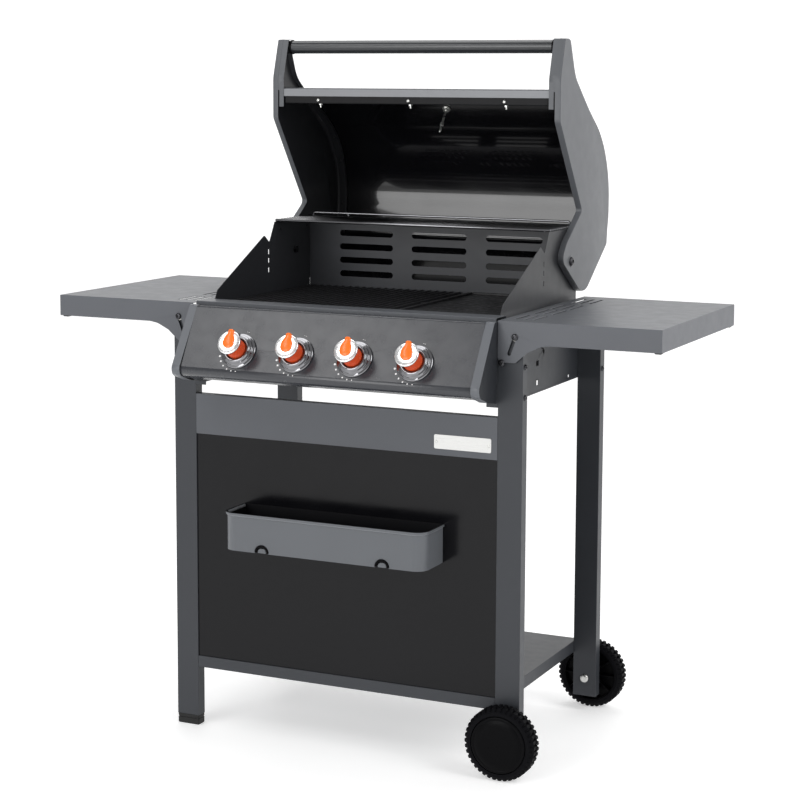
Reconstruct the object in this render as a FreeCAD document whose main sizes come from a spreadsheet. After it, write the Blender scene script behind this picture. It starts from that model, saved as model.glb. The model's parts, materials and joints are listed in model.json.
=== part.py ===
"""Gas barbecue grill on a four-legged stand, as a parametric document with one STEP file per piece.

Millimetres. X runs to the right, Y to the back and Z up. The origin is on the ground, in the middle
of the grill's outer box. The lid stands open, leaning back on its stop.
"""
import FreeCAD, Part
import math
import os
import re
from types import SimpleNamespace

from FreeCAD import Vector

DIMENSIONS = {
    # stand
    "frame_half": 372,
    "frame_front": -247,
    "frame_back": 200,
    "leg_width": 49,
    "leg_depth": 24,
    "leg_wall": 1,
    "leg_top": 852,
    "foot_height": 20,
    "wheel_leg_bottom": 33,
    "sheet": 1,
    "shelf_top": 146,
    "shelf_depth": 24,
    "rail_bottom": 598.5,
    "rail_top": 678.5,
    "panel_recess": 3,
    "fold": 18,
    # wheels
    "wheel_radius": 70,
    "wheel_width": 38,
    "wheel_gap": 6,
    "axle_radius": 5,
    "cap_radius": 54,
    # side tables
    "table_top": 860,
    "table_inner": 324,
    "table_outer": 638.5,
    "table_front": -253,
    "table_back": 206.5,
    "fascia_depth": 42,
    "pivot_across": 358,
    "pivot_height": 831,
    "catch_across": 332,
    "catch_height": 782,
    "lift": 33,
    "lift_lean": 20,
    "table_bolt": 3,
    "slot_half": 3.6,
    # firebox
    "box_half": 307,
    "box_front": -200,
    "box_back": 204.5,
    "box_floor": 735,
    "floor_dip": 20,
    "rim_top": 863.5,
    "wall_top": 1001,
    "ledge_height": 847,
    "grate_thickness": 10,
    "grate_split": 73,
    "side_panel_bottom": 697,
    # control panel
    "panel_half": 306,
    "cap_outer": 323.5,
    "panel_top_y": -268.5,
    "panel_top_z": 856.5,
    "panel_lean": 29.85,
    "panel_slope": 146,
    "knob_pitch": 124,
    "knob_drop": 90,
    "stem_radius": 3,
    "running_gap": 0.06,
    "burner_height": 770,
    "burner_radius": 12.5,
    "manifold_radius": 8,
    "hose_radius": 5,
    # lid
    "lid_half": 320,
    "hinge_y": 137,
    "hinge_z": 937,
    "hinge_radius": 4,
    "handle_y": 104,
    "handle_z": 1363,
    "handle_radius": 13.5,
    "lip_y": 68.5,
    # basket
    "basket_half": 213,
    "hook_across": 150,
    "basket_front": -333,
    "basket_back": -245,
    "basket_bottom": 393,
    "basket_top": 463,
}
at = SimpleNamespace(**DIMENSIONS)

doc = FreeCAD.newDocument("gas_grill")
sheet = doc.addObject("Spreadsheet::Sheet", "Sizes")
for row, (word, number) in enumerate(DIMENSIONS.items(), start=1):
    sheet.set(f"A{row}", word)
    sheet.set(f"B{row}", str(number))
    sheet.setAlias(f"B{row}", word)
doc.recompute()

TURNS = {
    "x": FreeCAD.Rotation(Vector(0, 1, 0), 90),
    "y": FreeCAD.Rotation(Vector(1, 0, 0), -90),
    "z": FreeCAD.Rotation(),
    "knob": FreeCAD.Rotation(Vector(1, 0, 0), 90 - at.panel_lean),
}
KNOB_PLACES = [at.knob_pitch * step for step in (-1.5, -0.5, 0.5, 1.5)]
HOOK_PLACES = (-at.hook_across, at.hook_across)
SIDES = {"left": -1, "right": 1}
GRATE_SLOTS = 21
GRATE_PITCH = 17
RACK_WIRE = 3
RACK_BRACE = 2
PROBE_RADIUS = 2.5
VALVE_REACH = 42
DIAL_DROP = 70
ROUND_END = 0.999  # a slot's ends are rounded by just under half its width
RESTING_GAP = 0.05
VENT_COLUMNS = (344, 362, 380)
VENT_RUNS = ((-215, -146), (-120, -47), (-29, 45), (80, 159))
pieces = []


# ---- building blocks ----

def linked(expression):
    """The expression with every dimension's name pointed at its cell in the sheet."""
    def cell(word):
        return f"Sizes.{word[0]}" if word[0] in DIMENSIONS else word[0]
    return re.sub(r"[a-z_]+", cell, str(expression))


def move(item, x, y, z, facing="z"):
    """Stand the item at x, y, z, with its own Z axis turned to face along the named direction."""
    item.Placement = FreeCAD.Placement(Vector(), TURNS[facing])
    for axis, expression in zip("xyz", (x, y, z)):
        item.setExpression(f"Placement.Base.{axis}", linked(expression))
    return item


def box(name, x, y, z):
    """A block between the low and high places given for each axis."""
    item = doc.addObject("Part::Box", name)
    for edge, (low, high) in zip(("Length", "Width", "Height"), (x, y, z)):
        item.setExpression(edge, linked(f"({high}) - ({low})"))
    return move(item, x[0], y[0], z[0])


def rod(name, radius, length, start, facing="z"):
    item = doc.addObject("Part::Cylinder", name)
    item.setExpression("Radius", linked(radius))
    item.setExpression("Height", linked(length))
    return move(item, *start, facing)


def group(name, items):
    item = doc.addObject("Part::Compound", name)
    item.Links = items
    return item


def fuse(name, items):
    item = doc.addObject("Part::MultiFuse", name)
    item.Shapes = items
    return item


def cut(name, base, tools):
    item = doc.addObject("Part::Cut", name)
    item.Base = base
    item.Tool = tools[0] if len(tools) == 1 else group(f"{name}_openings", tools)
    return item


def mirrored(sign, low, high):
    """The range of x from low to high on the right, or its mirror image on the left."""
    return (low, high) if sign > 0 else (f"-({high})", f"-({low})")


def keep(item, node):
    """Name a finished piece after its node."""
    item.Label = node
    pieces.append(item)
    return item


def new_body(name, x=0, y=0, z=0, facing="z"):
    return move(doc.addObject("PartDesign::Body", name), x, y, z, facing)


def new_sketch(body, plane, offset=0):
    """A sketch on one of the body's own origin planes, moved along the plane's normal."""
    sketch = body.newObject("Sketcher::SketchObject", f"{body.Name}_sketch")
    support = next(item for item in body.Origin.OriginFeatures if item.Role == f"{plane}_Plane")
    sketch.AttachmentSupport = (support, [""])
    sketch.MapMode = "FlatFace"
    sketch.setExpression("AttachmentOffset.Base.z", linked(offset))
    return sketch


def draw(sketch, corners):
    """A closed outline through the corners, each (u, v) or (u, v, radius) where it is rounded."""
    points = [Vector(corner[0], corner[1], 0) for corner in corners]
    radii = [corner[2] if len(corner) > 2 else 0 for corner in corners]
    starts, ends, edges = [], [], []
    for number, (here, radius) in enumerate(zip(points, radii)):
        back = (points[number - 1] - here).normalize()
        ahead = (points[(number + 1) % len(points)] - here).normalize()
        half_angle = back.getAngle(ahead) / 2
        reach = radius / math.tan(half_angle)
        starts.append(here + back * reach)
        ends.append(here + ahead * reach)
        if radius:
            middle = here + (back + ahead).normalize() * (radius / math.sin(half_angle) - radius)
            edges.append(Part.Arc(starts[-1], middle, ends[-1]))
    for number, end in enumerate(ends):
        start = starts[(number + 1) % len(starts)]
        if start.distanceToPoint(end) > 0.001:
            edges.append(Part.LineSegment(end, start))
    sketch.addGeometry(edges, False)


def folded(path, thickness):
    """The closed outline of a sheet bent along the path, with its thickness on the path's left."""
    points = [Vector(corner[0], corner[1], 0) for corner in path]
    radii = [corner[2] if len(corner) > 2 else 0 for corner in path]
    runs = [(end - start).normalize() for start, end in zip(points, points[1:])]
    lefts = [Vector(-run.y, run.x, 0) for run in runs]
    outline = [(point.x, point.y, radius) for point, radius in zip(points, radii)]
    far_side = [points[0] + lefts[0] * thickness]
    far_radii = [0]
    for number in range(1, len(points) - 1):
        before, after = lefts[number - 1], lefts[number]
        mitre = (before + after) * (thickness / (1 + before.dot(after)))
        turn = runs[number - 1].cross(runs[number]).z
        change = -thickness if turn > 0 else thickness
        far_side.append(points[number] + mitre)
        far_radii.append(max(radii[number] + change, 0) if radii[number] else 0)
    far_side.append(points[-1] + lefts[-1] * thickness)
    far_radii.append(0)
    back = [(point.x, point.y, radius) for point, radius in zip(far_side, far_radii)]
    return outline + back[::-1]


def pad(body, sketch, length, symmetric=False, backwards=False):
    feature = body.newObject("PartDesign::Pad", f"{body.Name}_pad")
    feature.Profile = sketch
    feature.setExpression("Length", linked(length))
    feature.Midplane = symmetric
    feature.Reversed = backwards
    return feature


def pocket(body, sketch):
    """Cut the sketch right through the body, both ways."""
    feature = body.newObject("PartDesign::Pocket", f"{body.Name}_pocket")
    feature.Profile = sketch
    feature.Type = "ThroughAll"
    feature.Midplane = True
    return feature


def revolve(body, sketch):
    """Turn the sketch once around its own vertical axis."""
    feature = body.newObject("PartDesign::Revolution", f"{body.Name}_turned")
    feature.Profile = sketch
    feature.ReferenceAxis = (sketch, ["V_Axis"])
    feature.Angle = 360
    return feature


def bent_sheet(name, path, width, thickness=at.sheet, x=0):
    """A sheet bent along a path of (y, z) corners and width wide, centred on x."""
    body = new_body(name, x)
    sketch = new_sketch(body, "YZ")
    draw(sketch, folded(path, thickness))
    pad(body, sketch, width, symmetric=True)
    return body


def flat_plate(name, corners, x):
    """A plate of (y, z) corners that stands across X, its outer face at x and its thickness inward."""
    body = new_body(name, x)
    sketch = new_sketch(body, "YZ")
    draw(sketch, corners)
    pad(body, sketch, "sheet", backwards=x > 0)
    return body


def stadium(u, v, length, height):
    """The corners of a slot with round ends, centred on u, v."""
    side, end = length / 2, height / 2
    corners = ((-side, -end), (side, -end), (side, end), (-side, end))
    return [(u + across, v + up, end * ROUND_END) for across, up in corners]


# ---- stand ----

def make_legs():
    """Four rectangular tubes: the left pair stand on feet, the right pair carry the wheels."""
    fronts = {"front": "frame_front", "rear": "frame_back - leg_depth"}
    for side in SIDES:
        bottom = "foot_height" if side == "left" else "wheel_leg_bottom"
        low_x = "-frame_half" if side == "left" else "frame_half - leg_width"
        for end, front in fronts.items():
            node = f"{side}_{end}_leg"
            outer = box(f"{node}_outside", (low_x, f"{low_x} + leg_width"),
                        (front, f"{front} + leg_depth"), (bottom, "leg_top"))
            inner = box(f"{node}_inside", (f"{low_x} + leg_wall", f"{low_x} + leg_width - leg_wall"),
                        (f"{front} + leg_wall", f"{front} + leg_depth - leg_wall"), (bottom, "leg_top"))
            openings = [inner]
            if side == "right":
                openings.append(rod(f"{node}_axle_hole", "axle_radius", "leg_depth",
                                    ("frame_half - leg_width / 2", front, "wheel_radius"), "y"))
            keep(cut(node, outer, openings), node)


def make_feet():
    feet = []
    for front in ("frame_front", "frame_back - leg_depth"):
        feet.append(box("foot", ("-frame_half", "-frame_half + leg_width"),
                        (front, f"{front} + leg_depth"), (0, "foot_height")))
    keep(group("feet", feet), "leg_foot_caps")


def make_pan(node, x, y, z, open_side):
    """A folded pan: a block hollowed out from one side, named by its axis and end."""
    shrunk = []
    for axis, (low, high) in zip("xyz", (x, y, z)):
        inner_low = low if open_side == f"{axis}_low" else f"{low} + sheet"
        inner_high = high if open_side == f"{axis}_high" else f"{high} - sheet"
        shrunk.append((inner_low, inner_high))
    return cut(node, box(f"{node}_outside", x, y, z), [box(f"{node}_hollow", *shrunk)])


def make_stand_panels():
    """Shelf with a sunk strip for the glossy front panel, the panel with its slots, and the rail."""
    across = ("-frame_half + leg_width", "frame_half - leg_width")
    front = "frame_front + panel_recess"
    step, underside = f"{front} + fold", "shelf_top - shelf_depth"
    shelf = fuse("shelf_outside", [
        box("shelf_front", across, ("frame_front", "frame_back"), (underside, "shelf_top - sheet")),
        box("shelf_main", across, (step, "frame_back"), (underside, "shelf_top")),
    ])
    inside = ("-frame_half + leg_width + sheet", "frame_half - leg_width - sheet")
    hollows = [
        box("shelf_front_hollow", inside, ("frame_front + sheet", "frame_back - sheet"),
            (underside, "shelf_top - 2 * sheet")),
        box("shelf_main_hollow", inside, (f"{step} + sheet", "frame_back - sheet"),
            (underside, "shelf_top - sheet")),
    ]
    keep(cut("shelf", shelf, hollows), "bottom_shelf")
    panel = make_pan("panel", across, (front, step), ("shelf_top - sheet", "rail_bottom"), "y_high")
    slots = [box("hanging_slot", (f"{place} - 5", f"{place} + 5"), (front, f"{front} + sheet"),
                 ("basket_top - 50", "basket_top - 8")) for place in HOOK_PLACES]
    keep(cut("slotted_panel", panel, slots), "front_panel")
    keep(make_pan("rail", across, ("frame_front", "frame_front + fold"),
                  ("rail_bottom", "rail_top"), "y_high"), "upper_front_rail")
    badge = new_body("badge", 0, "frame_front")
    sketch = new_sketch(badge, "XZ")
    draw(sketch, [(195, 611, 3), (311, 611, 3), (311, 638, 3), (195, 638, 3)])
    pad(badge, sketch, "sheet")
    keep(badge, "blank_badge_plate")


def make_side_panels():
    """Plates between the front and rear legs, with a flange turned in behind the control panel."""
    panels = []
    for sign in SIDES.values():
        plate_x = mirrored(sign, "frame_half - leg_width - sheet", "frame_half - leg_width")
        flange_x = mirrored(sign, "frame_half - leg_width - 23", "frame_half - leg_width - sheet")
        height = ("side_panel_bottom", "leg_top - 4")
        plate = box("side_plate", plate_x, ("frame_front", "frame_back"), height)
        flange = box("side_flange", flange_x, ("frame_front", "frame_front + sheet"), height)
        holes = [
            box("vent", plate_x, (-54, -42), (750, 760)),
            box("vent", plate_x, (-52, -44), (712, 724)),
            rod("vent", 4, "sheet", (plate_x[0], -15, 774), "x"),
            rod("vent", 3, "sheet", (plate_x[0], 124, 707), "x"),
        ]
        panels.append(cut("side_panel", fuse("side_sheet", [plate, flange]), holes))
    keep(group("side_panel_pair", panels), "lower_side_panels")


def make_frame_bolts():
    """Round bolt heads on the outer faces of the legs, where the side panels are fixed."""
    heads = []
    for y in ("frame_front + leg_depth / 2", "frame_back - leg_depth / 2"):
        for z in (717, 774):
            heads.append(rod("bolt_head", 5.5, 3.5, ("frame_half", y, z), "x"))
            heads.append(rod("bolt_head", 5.5, 3.5, ("-frame_half - 3.5", y, z), "x"))
    keep(group("frame_bolt_heads", heads), "frame_bolts")


# ---- wheels ----

def make_wheels():
    """Each wheel turns on a bolt through its leg and carries a snap-in cap over its outer side."""
    hub, rim, cap = 15, at.wheel_radius - 14, at.cap_radius
    width = at.wheel_width
    bore = at.axle_radius + at.running_gap
    for end, sign, face in (("front", -1, at.frame_front), ("rear", 1, at.frame_back)):
        inner = face + sign * at.wheel_gap
        wheel = new_body(f"{end}_wheel_body", "frame_half - leg_width / 2", inner, "wheel_radius",
                         "y")
        sketch = new_sketch(wheel, "XZ")
        draw(sketch, [(bore, 0), (hub, 0), (hub, sign * 14), (rim, sign * 14), (rim, 0),
                      (at.wheel_radius - 5, 0), (at.wheel_radius, sign * 6),
                      (at.wheel_radius, sign * (width - 6)), (at.wheel_radius - 5, sign * width),
                      (rim, sign * width), (rim, sign * 18), (hub, sign * 18), (hub, sign * 24),
                      (bore, sign * 24)])
        revolve(wheel, sketch)
        keep(wheel, f"{end}_wheel")
        cover = new_body(f"{end}_cap_body", "frame_half - leg_width / 2", inner, "wheel_radius", "y")
        sketch = new_sketch(cover, "XZ")
        draw(sketch, [(0, sign * (width - 2)), (cap, sign * (width - 2)), (cap, sign * (width - 8)),
                      (rim, sign * (width - 8)), (rim, sign * (width - 4)),
                      (cap + 1, sign * (width + 0.5)), (0, sign * (width + 2))])
        revolve(cover, sketch)
        keep(cover, f"{end}_wheel_cap")


def make_wheel_bolts():
    """Domed bolts through the right legs, with a nut outside each hub."""
    bolts = []
    for sign, face in ((-1, "frame_front"), (1, "frame_back")):
        inner_face = f"{face} - {sign} * leg_depth"
        place = ("frame_half - leg_width / 2", face, "wheel_radius")
        low = f"{face} - wheel_gap - 31" if sign < 0 else inner_face
        shank = rod("axle", "axle_radius", "leg_depth + wheel_gap + 31", (place[0], low, place[2]), "y")
        spacer_low = f"{face} - wheel_gap + 0.5" if sign < 0 else face
        spacer = rod("axle_spacer", 9, "wheel_gap - 0.5", (place[0], spacer_low, place[2]), "y")
        nut_low = f"{face} - wheel_gap - 30" if sign < 0 else f"{face} + wheel_gap + 24.5"
        nut = rod("axle_nut", 8.5, 5.5, (place[0], nut_low, place[2]), "y")
        head_low = inner_face if sign < 0 else f"{inner_face} - 4"
        head = rod("axle_head", 9, 4, (place[0], head_low, place[2]), "y")
        bolts.append(fuse("wheel_bolt", [shank, spacer, nut, head]))
    keep(group("wheel_bolt_pair", bolts), "wheel_bolts")


# ---- side tables ----

def lift_slot():
    """The slot that the pivot bolt rides in as the right table is lifted: (x, z) corners."""
    lean = math.radians(at.lift_lean)
    along = Vector(math.sin(lean), math.cos(lean), 0)
    across = Vector(along.y, -along.x, 0) * at.slot_half
    high = Vector(at.pivot_across, at.pivot_height, 0)
    low = high - along * at.lift
    foot, head = low - along * at.slot_half, high + along * at.slot_half
    corners = [foot - across, foot + across, head + across, head - across]
    return [(corner.x, corner.y, at.slot_half * ROUND_END) for corner in corners]


def fascia_outline():
    """The fascia of the right table in (x, z), with the hinge bracket and the notch for the catch."""
    notch_top = at.catch_height + 5
    edge = at.catch_height + 1
    low = at.table_top - at.fascia_depth
    return [
        (at.table_inner, at.table_top - at.sheet), (at.table_inner, notch_top + 6),
        (at.catch_across - 6, notch_top), (at.catch_across + 5, notch_top),
        (at.catch_across + 5, edge), (359, edge), (382, 803), (407, 815, 20), (425, low),
        (at.table_outer - at.sheet, low), (at.table_outer - at.sheet, at.table_top - at.sheet),
    ]


def make_tables():
    """Pressed side tables whose ends hang on the legs' pivot bolts and drop over the catch bolts."""
    for side, sign in SIDES.items():
        depth = ("table_front", "table_back")
        top = box(f"{side}_top", mirrored(sign, "table_inner", "table_outer"), depth,
                  ("table_top - sheet", "table_top"))
        end = box(f"{side}_end", mirrored(sign, "table_outer - sheet", "table_outer"), depth,
                  ("table_top - fascia_depth", "table_top - sheet"))
        fascias = []
        for front in ("table_front", "table_back - sheet"):
            fascia = new_body(f"{side}_fascia", 0, front)
            outline = new_sketch(fascia, "XZ")
            draw(outline, [(sign * x, *rest) for x, *rest in fascia_outline()])
            pad(fascia, outline, "sheet", backwards=True)
            slot = new_sketch(fascia, "XZ")
            draw(slot, [(sign * x, *rest) for x, *rest in lift_slot()])
            pocket(fascia, slot)
            fascias.append(fascia)
        vents = [box("vent", mirrored(sign, x - 3, x + 3), run, ("table_top - sheet", "table_top"))
                 for x in VENT_COLUMNS for run in VENT_RUNS]
        pan = fuse(f"{side}_pan", [top, end, *fascias])
        keep(cut(f"{side}_vented_pan", pan, vents), f"{side}_side_table")
        bumpers = [box("bumper", mirrored(sign, "table_outer - 16", "table_outer - 3"), run,
                       ("table_top - fascia_depth - 3", "table_top - sheet"))
                   for run in (("table_front + 6", "table_front + 18"),
                               ("table_back - 18", "table_back - 6"))]
        keep(group(f"{side}_bumper_pair", bumpers), f"{side}_table_bumpers")


def make_table_bolts():
    """Pivot and catch bolts on the leg faces, and the spacer rings that turn on the pivots."""
    bolts = []
    for side, sign in SIDES.items():
        rings = []
        for direction, face, sheet_face in ((-1, "frame_front", "table_front"),
                                            (1, "frame_back", "table_back")):
            reach = f"abs({sheet_face} - {face}) + 0.4"
            for across, height in (("pivot_across", "pivot_height"), ("catch_across", "catch_height")):
                x = f"{sign} * {across}"
                shank_low = f"{face} - ({reach})" if direction < 0 else face
                shank = rod("shank", "table_bolt", reach, (x, shank_low, height), "y")
                head_low = f"{face} - ({reach}) - 3.5" if direction < 0 else f"{face} + {reach}"
                head = rod("head", 6.5, 3.5, (x, head_low, height), "y")
                bolts.append(fuse("table_bolt_piece", [shank, head]))
            ring_low = f"{face} - 4" if direction < 0 else f"{face} + 0.5"
            place = (f"{sign} * pivot_across", ring_low, "pivot_height")
            ring = rod("ring", 8, 3.5, place, "y")
            bore = rod("ring_bore", "table_bolt + running_gap", 3.5, place, "y")
            rings.append(cut("spacer_ring", ring, [bore]))
        keep(group(f"{side}_rings", rings), f"{side}_pivot_spacers")
    keep(group("table_bolt_set", bolts), "table_bolts")


# ---- firebox ----

def make_firebox():
    """Front wall and floor in one sheet, the slotted back wall, and the two shaped side walls."""
    floor, low = at.box_floor, at.box_floor - at.floor_dip
    inner_back = at.box_back - at.sheet
    tub = bent_sheet("tub", [
        (at.box_front + 10, at.ledge_height), (at.box_front, at.ledge_height),
        (at.box_front, floor, 6), (0, low), (inner_back, floor)], "2 * (box_half - sheet)")
    holes = [rod("burner_hole", "burner_radius + 1.5", 8, (x, "box_front - 2", "burner_height"), "y")
             for x in KNOB_PLACES]
    holes.append(box("drain", (-60, 60), (-25, 25), ("box_floor - floor_dip - 5", "box_floor")))
    keep(cut("tub_with_holes", tub, holes), "firebox_tub")

    back = new_body("back_wall", 0, inner_back)
    sketch = new_sketch(back, "XZ")
    half = at.box_half - at.sheet
    draw(sketch, [(-half, low), (half, low), (half, at.wall_top), (-half, at.wall_top)])
    pad(back, sketch, "sheet", backwards=True)
    slots = new_sketch(back, "XZ")
    for x in (-170, 0, 170):
        for z in (883, 912, 941, 970):
            draw(slots, stadium(x, z, 126, 13))
    pocket(back, slots)
    keep(back, "firebox_back_wall")

    wall_front = at.box_front + 3
    wall = [(wall_front, low), (inner_back, low), (inner_back, at.wall_top), (47, at.wall_top),
            (24, 959.5, 4), (3, 975.5, 6), (-189, 880, 8), (wall_front, 866)]
    for side, sign in SIDES.items():
        plate = flat_plate(f"{side}_wall", wall, sign * at.box_half)
        across = mirrored(sign, "box_half - sheet", "box_half")
        hole = rod("hinge_hole", "hinge_radius", "sheet", (across[0], "hinge_y", "hinge_z"), "x")
        vents = [box("vent", across, (19, 23), (z - 5, z + 5)) for z in (902, 922, 940)]
        keep(cut(f"{side}_drilled_wall", plate, [hole, *vents]), f"firebox_{side}_wall")

    ledge = box("ledge", ("-box_half + sheet", "box_half - sheet"),
                ("box_back - sheet - 10", "box_back - sheet"), ("ledge_height - sheet", "ledge_height"))
    keep(ledge, "rear_grate_ledge")


def make_rim():
    """The bar across the front of the cooking well, folded from one strip."""
    keep(bent_sheet("rim", [(at.box_front - 1, 850), (at.box_front - 1, at.rim_top, 2),
                            (-249, at.rim_top, 3), (-249, 850)], "2 * (frame_half - leg_width - 3.5)"),
         "front_rim")


def make_grease_tray():
    """A shallow tray that slides out to the back on two angle rails under the floor."""
    rails = []
    for sign in SIDES.values():
        web = box("rail_web", mirrored(sign, 203.5, 204.5), (-150, 190),
                  (698, "box_floor - floor_dip - sheet"))
        foot = box("rail_foot", mirrored(sign, 193, 203.5), (-150, 190), (698, 699))
        rails.append(fuse("tray_rail", [web, foot]))
    keep(group("tray_rail_pair", rails), "tray_rails")
    tray = make_pan("tray", (-202.5, 202.5), (-140, 196), (699, 711), "z_high")
    grip = box("tray_grip", (-40, 40), (196, 212), (704, 706))
    keep(fuse("tray_with_grip", [tray, grip]), "grease_tray")


def make_burners():
    """Tube burners from the valves to the back wall, and a folded flame tamer over each."""
    tubes, tamers = [], []
    for x in KNOB_PLACES:
        outside = rod("burner_tube", "burner_radius", "box_back - sheet - box_front + 16",
                      (x, "box_front - 16", "burner_height"), "y")
        inside = rod("burner_bore", "burner_radius - 1.2", "box_back - box_front - 10",
                     (x, "box_front - 16", "burner_height"), "y")
        tubes.append(cut("burner", outside, [inside]))
        tamer = new_body("tamer", x, "box_front + sheet")
        sketch = new_sketch(tamer, "XZ")
        draw(sketch, folded([(48, 800), (0, 826, 4), (-48, 800)], 1.2))
        pad(tamer, sketch, "box_back - box_front - 2 * sheet", backwards=True)
        tamers.append(tamer)
    keep(group("burner_set", tubes), "burners")
    keep(group("tamer_set", tamers), "flame_tamers")
    igniters = [rod("igniter", 3, 30, (x + 20, "box_front + sheet", "burner_height + 16"), "y")
                for x in KNOB_PLACES]
    keep(group("igniter_set", igniters), "igniter_electrodes")


def make_cooking_surfaces():
    """Cast grate over the left and middle burners, solid griddle over the right, wire rack above."""
    depth = ("box_front + sheet + 0.5", "box_back - sheet - 0.5")
    height = ("ledge_height", "ledge_height + grate_thickness")
    plate = box("grate_blank", ("-box_half + sheet + 1", "grate_split - 1"), depth, height)
    slots = []
    for number in range(GRATE_SLOTS):
        x = -at.box_half + 16 + number * GRATE_PITCH
        slots += [box("gap", (x, x + 8), run, height) for run in ((-188, -10), (4, 192))]
    keep(cut("grate", plate, slots), "cooking_grate")
    slab = box("griddle_blank", ("grate_split + 1", "box_half - sheet - 1"), depth, height)
    recess = box("griddle_recess", ("grate_split + 7", "box_half - sheet - 7"), (-192, 196),
                 ("ledge_height + grate_thickness - 4", "ledge_height + grate_thickness"))
    keep(cut("griddle_plate", slab, [recess]), "griddle")

    height = at.wall_top + RACK_WIRE + RESTING_GAP
    wires = [rod("rack_wire", RACK_WIRE, 616, (-308, 54 + 12 * step, height), "x")
             for step in range(13)]
    wires += [rod("rack_brace", RACK_BRACE, 144, (x, 54, height - 0.4), "y")
              for x in (-296, -100, 100, 296)]
    keep(fuse("rack", wires), "warming_rack")


# ---- control panel ----

def knob_place(x):
    """Where a knob's axis meets the panel's face."""
    return (x, "panel_top_y - knob_drop * sin(panel_lean)", "panel_top_z - knob_drop * cos(panel_lean)")


def on_knob_axis(item, out):
    """The item moved along the knob axis, so that it starts that far out from the panel's face."""
    item.setExpression("Placement.Base.y", linked(
        f"panel_top_y - knob_drop * sin(panel_lean) - ({out}) * cos(panel_lean)"))
    item.setExpression("Placement.Base.z", linked(
        f"panel_top_z - knob_drop * cos(panel_lean) + ({out}) * sin(panel_lean)"))
    return item


def panel_corners():
    """The panel's bends as (y, z, radius): back edge, top, nose and the lip under it."""
    lean = math.radians(at.panel_lean)
    nose_y = at.panel_top_y - at.panel_slope * math.sin(lean)
    nose_z = at.panel_top_z - at.panel_slope * math.cos(lean)
    return [(-250, at.panel_top_z), (at.panel_top_y, at.panel_top_z, 5), (nose_y, nose_z, 14),
            (nose_y + 42, nose_z - 13)]


def make_control_panel():
    """The sloped fascia with a hole for every stem, and the raised caps at its two ends."""
    fascia = bent_sheet("fascia", panel_corners(), "2 * panel_half")
    holes = [on_knob_axis(rod("stem_hole", 6, 12, knob_place(x), "knob"), -6) for x in KNOB_PLACES]
    keep(cut("pierced_fascia", fascia, holes), "control_panel")

    top, nose = panel_corners()[1:3]
    outline = [(-254.2, top[1] + 1), (top[0] + 2, top[1] + 1, 6), (nose[0] - 3.5, nose[1] + 1, 16),
               (-294.7, 712.5, 30), (-254.2, 705.5)]
    caps = []
    for sign in SIDES.values():
        cap = new_body("cap", sign * at.cap_outer)
        side = new_sketch(cap, "YZ")
        draw(side, outline)
        pad(cap, side, "sheet", backwards=sign > 0)
        band = new_sketch(cap, "YZ")
        draw(band, folded(outline, at.sheet))
        pad(cap, band, "cap_outer - panel_half", backwards=sign > 0)
        caps.append(cap)
    keep(group("cap_pair", caps), "panel_end_caps")


def make_knobs():
    """Stepped bezels on the panel, and knobs that push in and turn on their valve stems."""
    bezels = []
    bore = at.stem_radius + at.running_gap
    for number, x in enumerate(KNOB_PLACES, start=1):
        bezel = new_body("bezel", *knob_place(x), "knob")
        sketch = new_sketch(bezel, "XZ")
        draw(sketch, [(22, 0), (36, 0), (36, 5, 2), (31, 8), (30, 13, 2), (22, 15)])
        revolve(bezel, sketch)
        bezels.append(bezel)

        stem = on_knob_axis(rod("stem", "stem_radius", 56, knob_place(x), "knob"), -28)
        keep(stem, f"valve_stem_{number}")

        knob = new_body("knob", *knob_place(x), "knob")
        sketch = new_sketch(knob, "XZ")
        draw(sketch, [(bore, 6), (19, 6), (18, 41), (23.5, 42, 0.8), (23.5, 46, 1.5), (0, 47.5),
                      (0, 28.5), (bore, 28.5)])
        revolve(knob, sketch)
        pointer = new_sketch(knob, "XY", 41)
        draw(pointer, [(-10, -11, 9), (10, -11, 9), (9, 9, 7), (4, 25, 3.5), (-4, 25, 3.5), (-9, 9, 7)])
        pad(knob, pointer, 8)
        keep(knob, f"knob_{number}")
    keep(group("bezel_set", bezels), "knob_bezels")


def make_gas_train():
    """The manifold pipe behind the panel, one valve per knob, and the inlet for the gas hose."""
    valves = []
    for x in KNOB_PLACES:
        barrel = on_knob_axis(rod("valve_barrel", 9, 34, knob_place(x), "knob"), -VALVE_REACH)
        bore = on_knob_axis(rod("valve_bore", "stem_radius + running_gap", 26, knob_place(x), "knob"),
                            -33)
        outlet = rod("valve_outlet", 4, 80, (x, -294, "burner_height"), "y")
        valves.append(cut("valve", fuse("valve_casting", [barrel, outlet]), [bore]))
    keep(group("valve_set", valves), "gas_valves")

    behind = VALVE_REACH + at.manifold_radius + RESTING_GAP
    pipe = rod("pipe", "manifold_radius", 560, (-280, *knob_place(0)[1:]), "x")
    keep(on_knob_axis(pipe, -behind), "gas_manifold")
    lean = math.radians(at.panel_lean)
    pipe_y = at.panel_top_y - at.knob_drop * math.sin(lean) + behind * math.cos(lean)
    pipe_z = at.panel_top_z - at.knob_drop * math.cos(lean) - behind * math.sin(lean)
    elbow = box("elbow", (-296, -280), (pipe_y - 9, pipe_y + 9), (pipe_z - 9, pipe_z + 9))
    nozzle = rod("nozzle", "hose_radius", 24, (-288, pipe_y, pipe_z - 33))
    keep(fuse("inlet", [elbow, nozzle]), "gas_inlet_fitting")


# ---- lid ----

def lid_outline():
    """A lid end in (y, z) with the lid open: handle horn, round back, hinge lug and cooking opening."""
    return [
        (90, 1379, 4), (118, 1379, 12), (150, 1301, 70), (370, 1149, 195), (367, 1012, 120),
        (354, 956, 14), (211.5, 859, 55), (85, 942, 17), (112, 976, 60), (197, 1035, 9),
        (66.5, 1216, 18), (66.5, 1300, 60),
    ]


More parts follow.
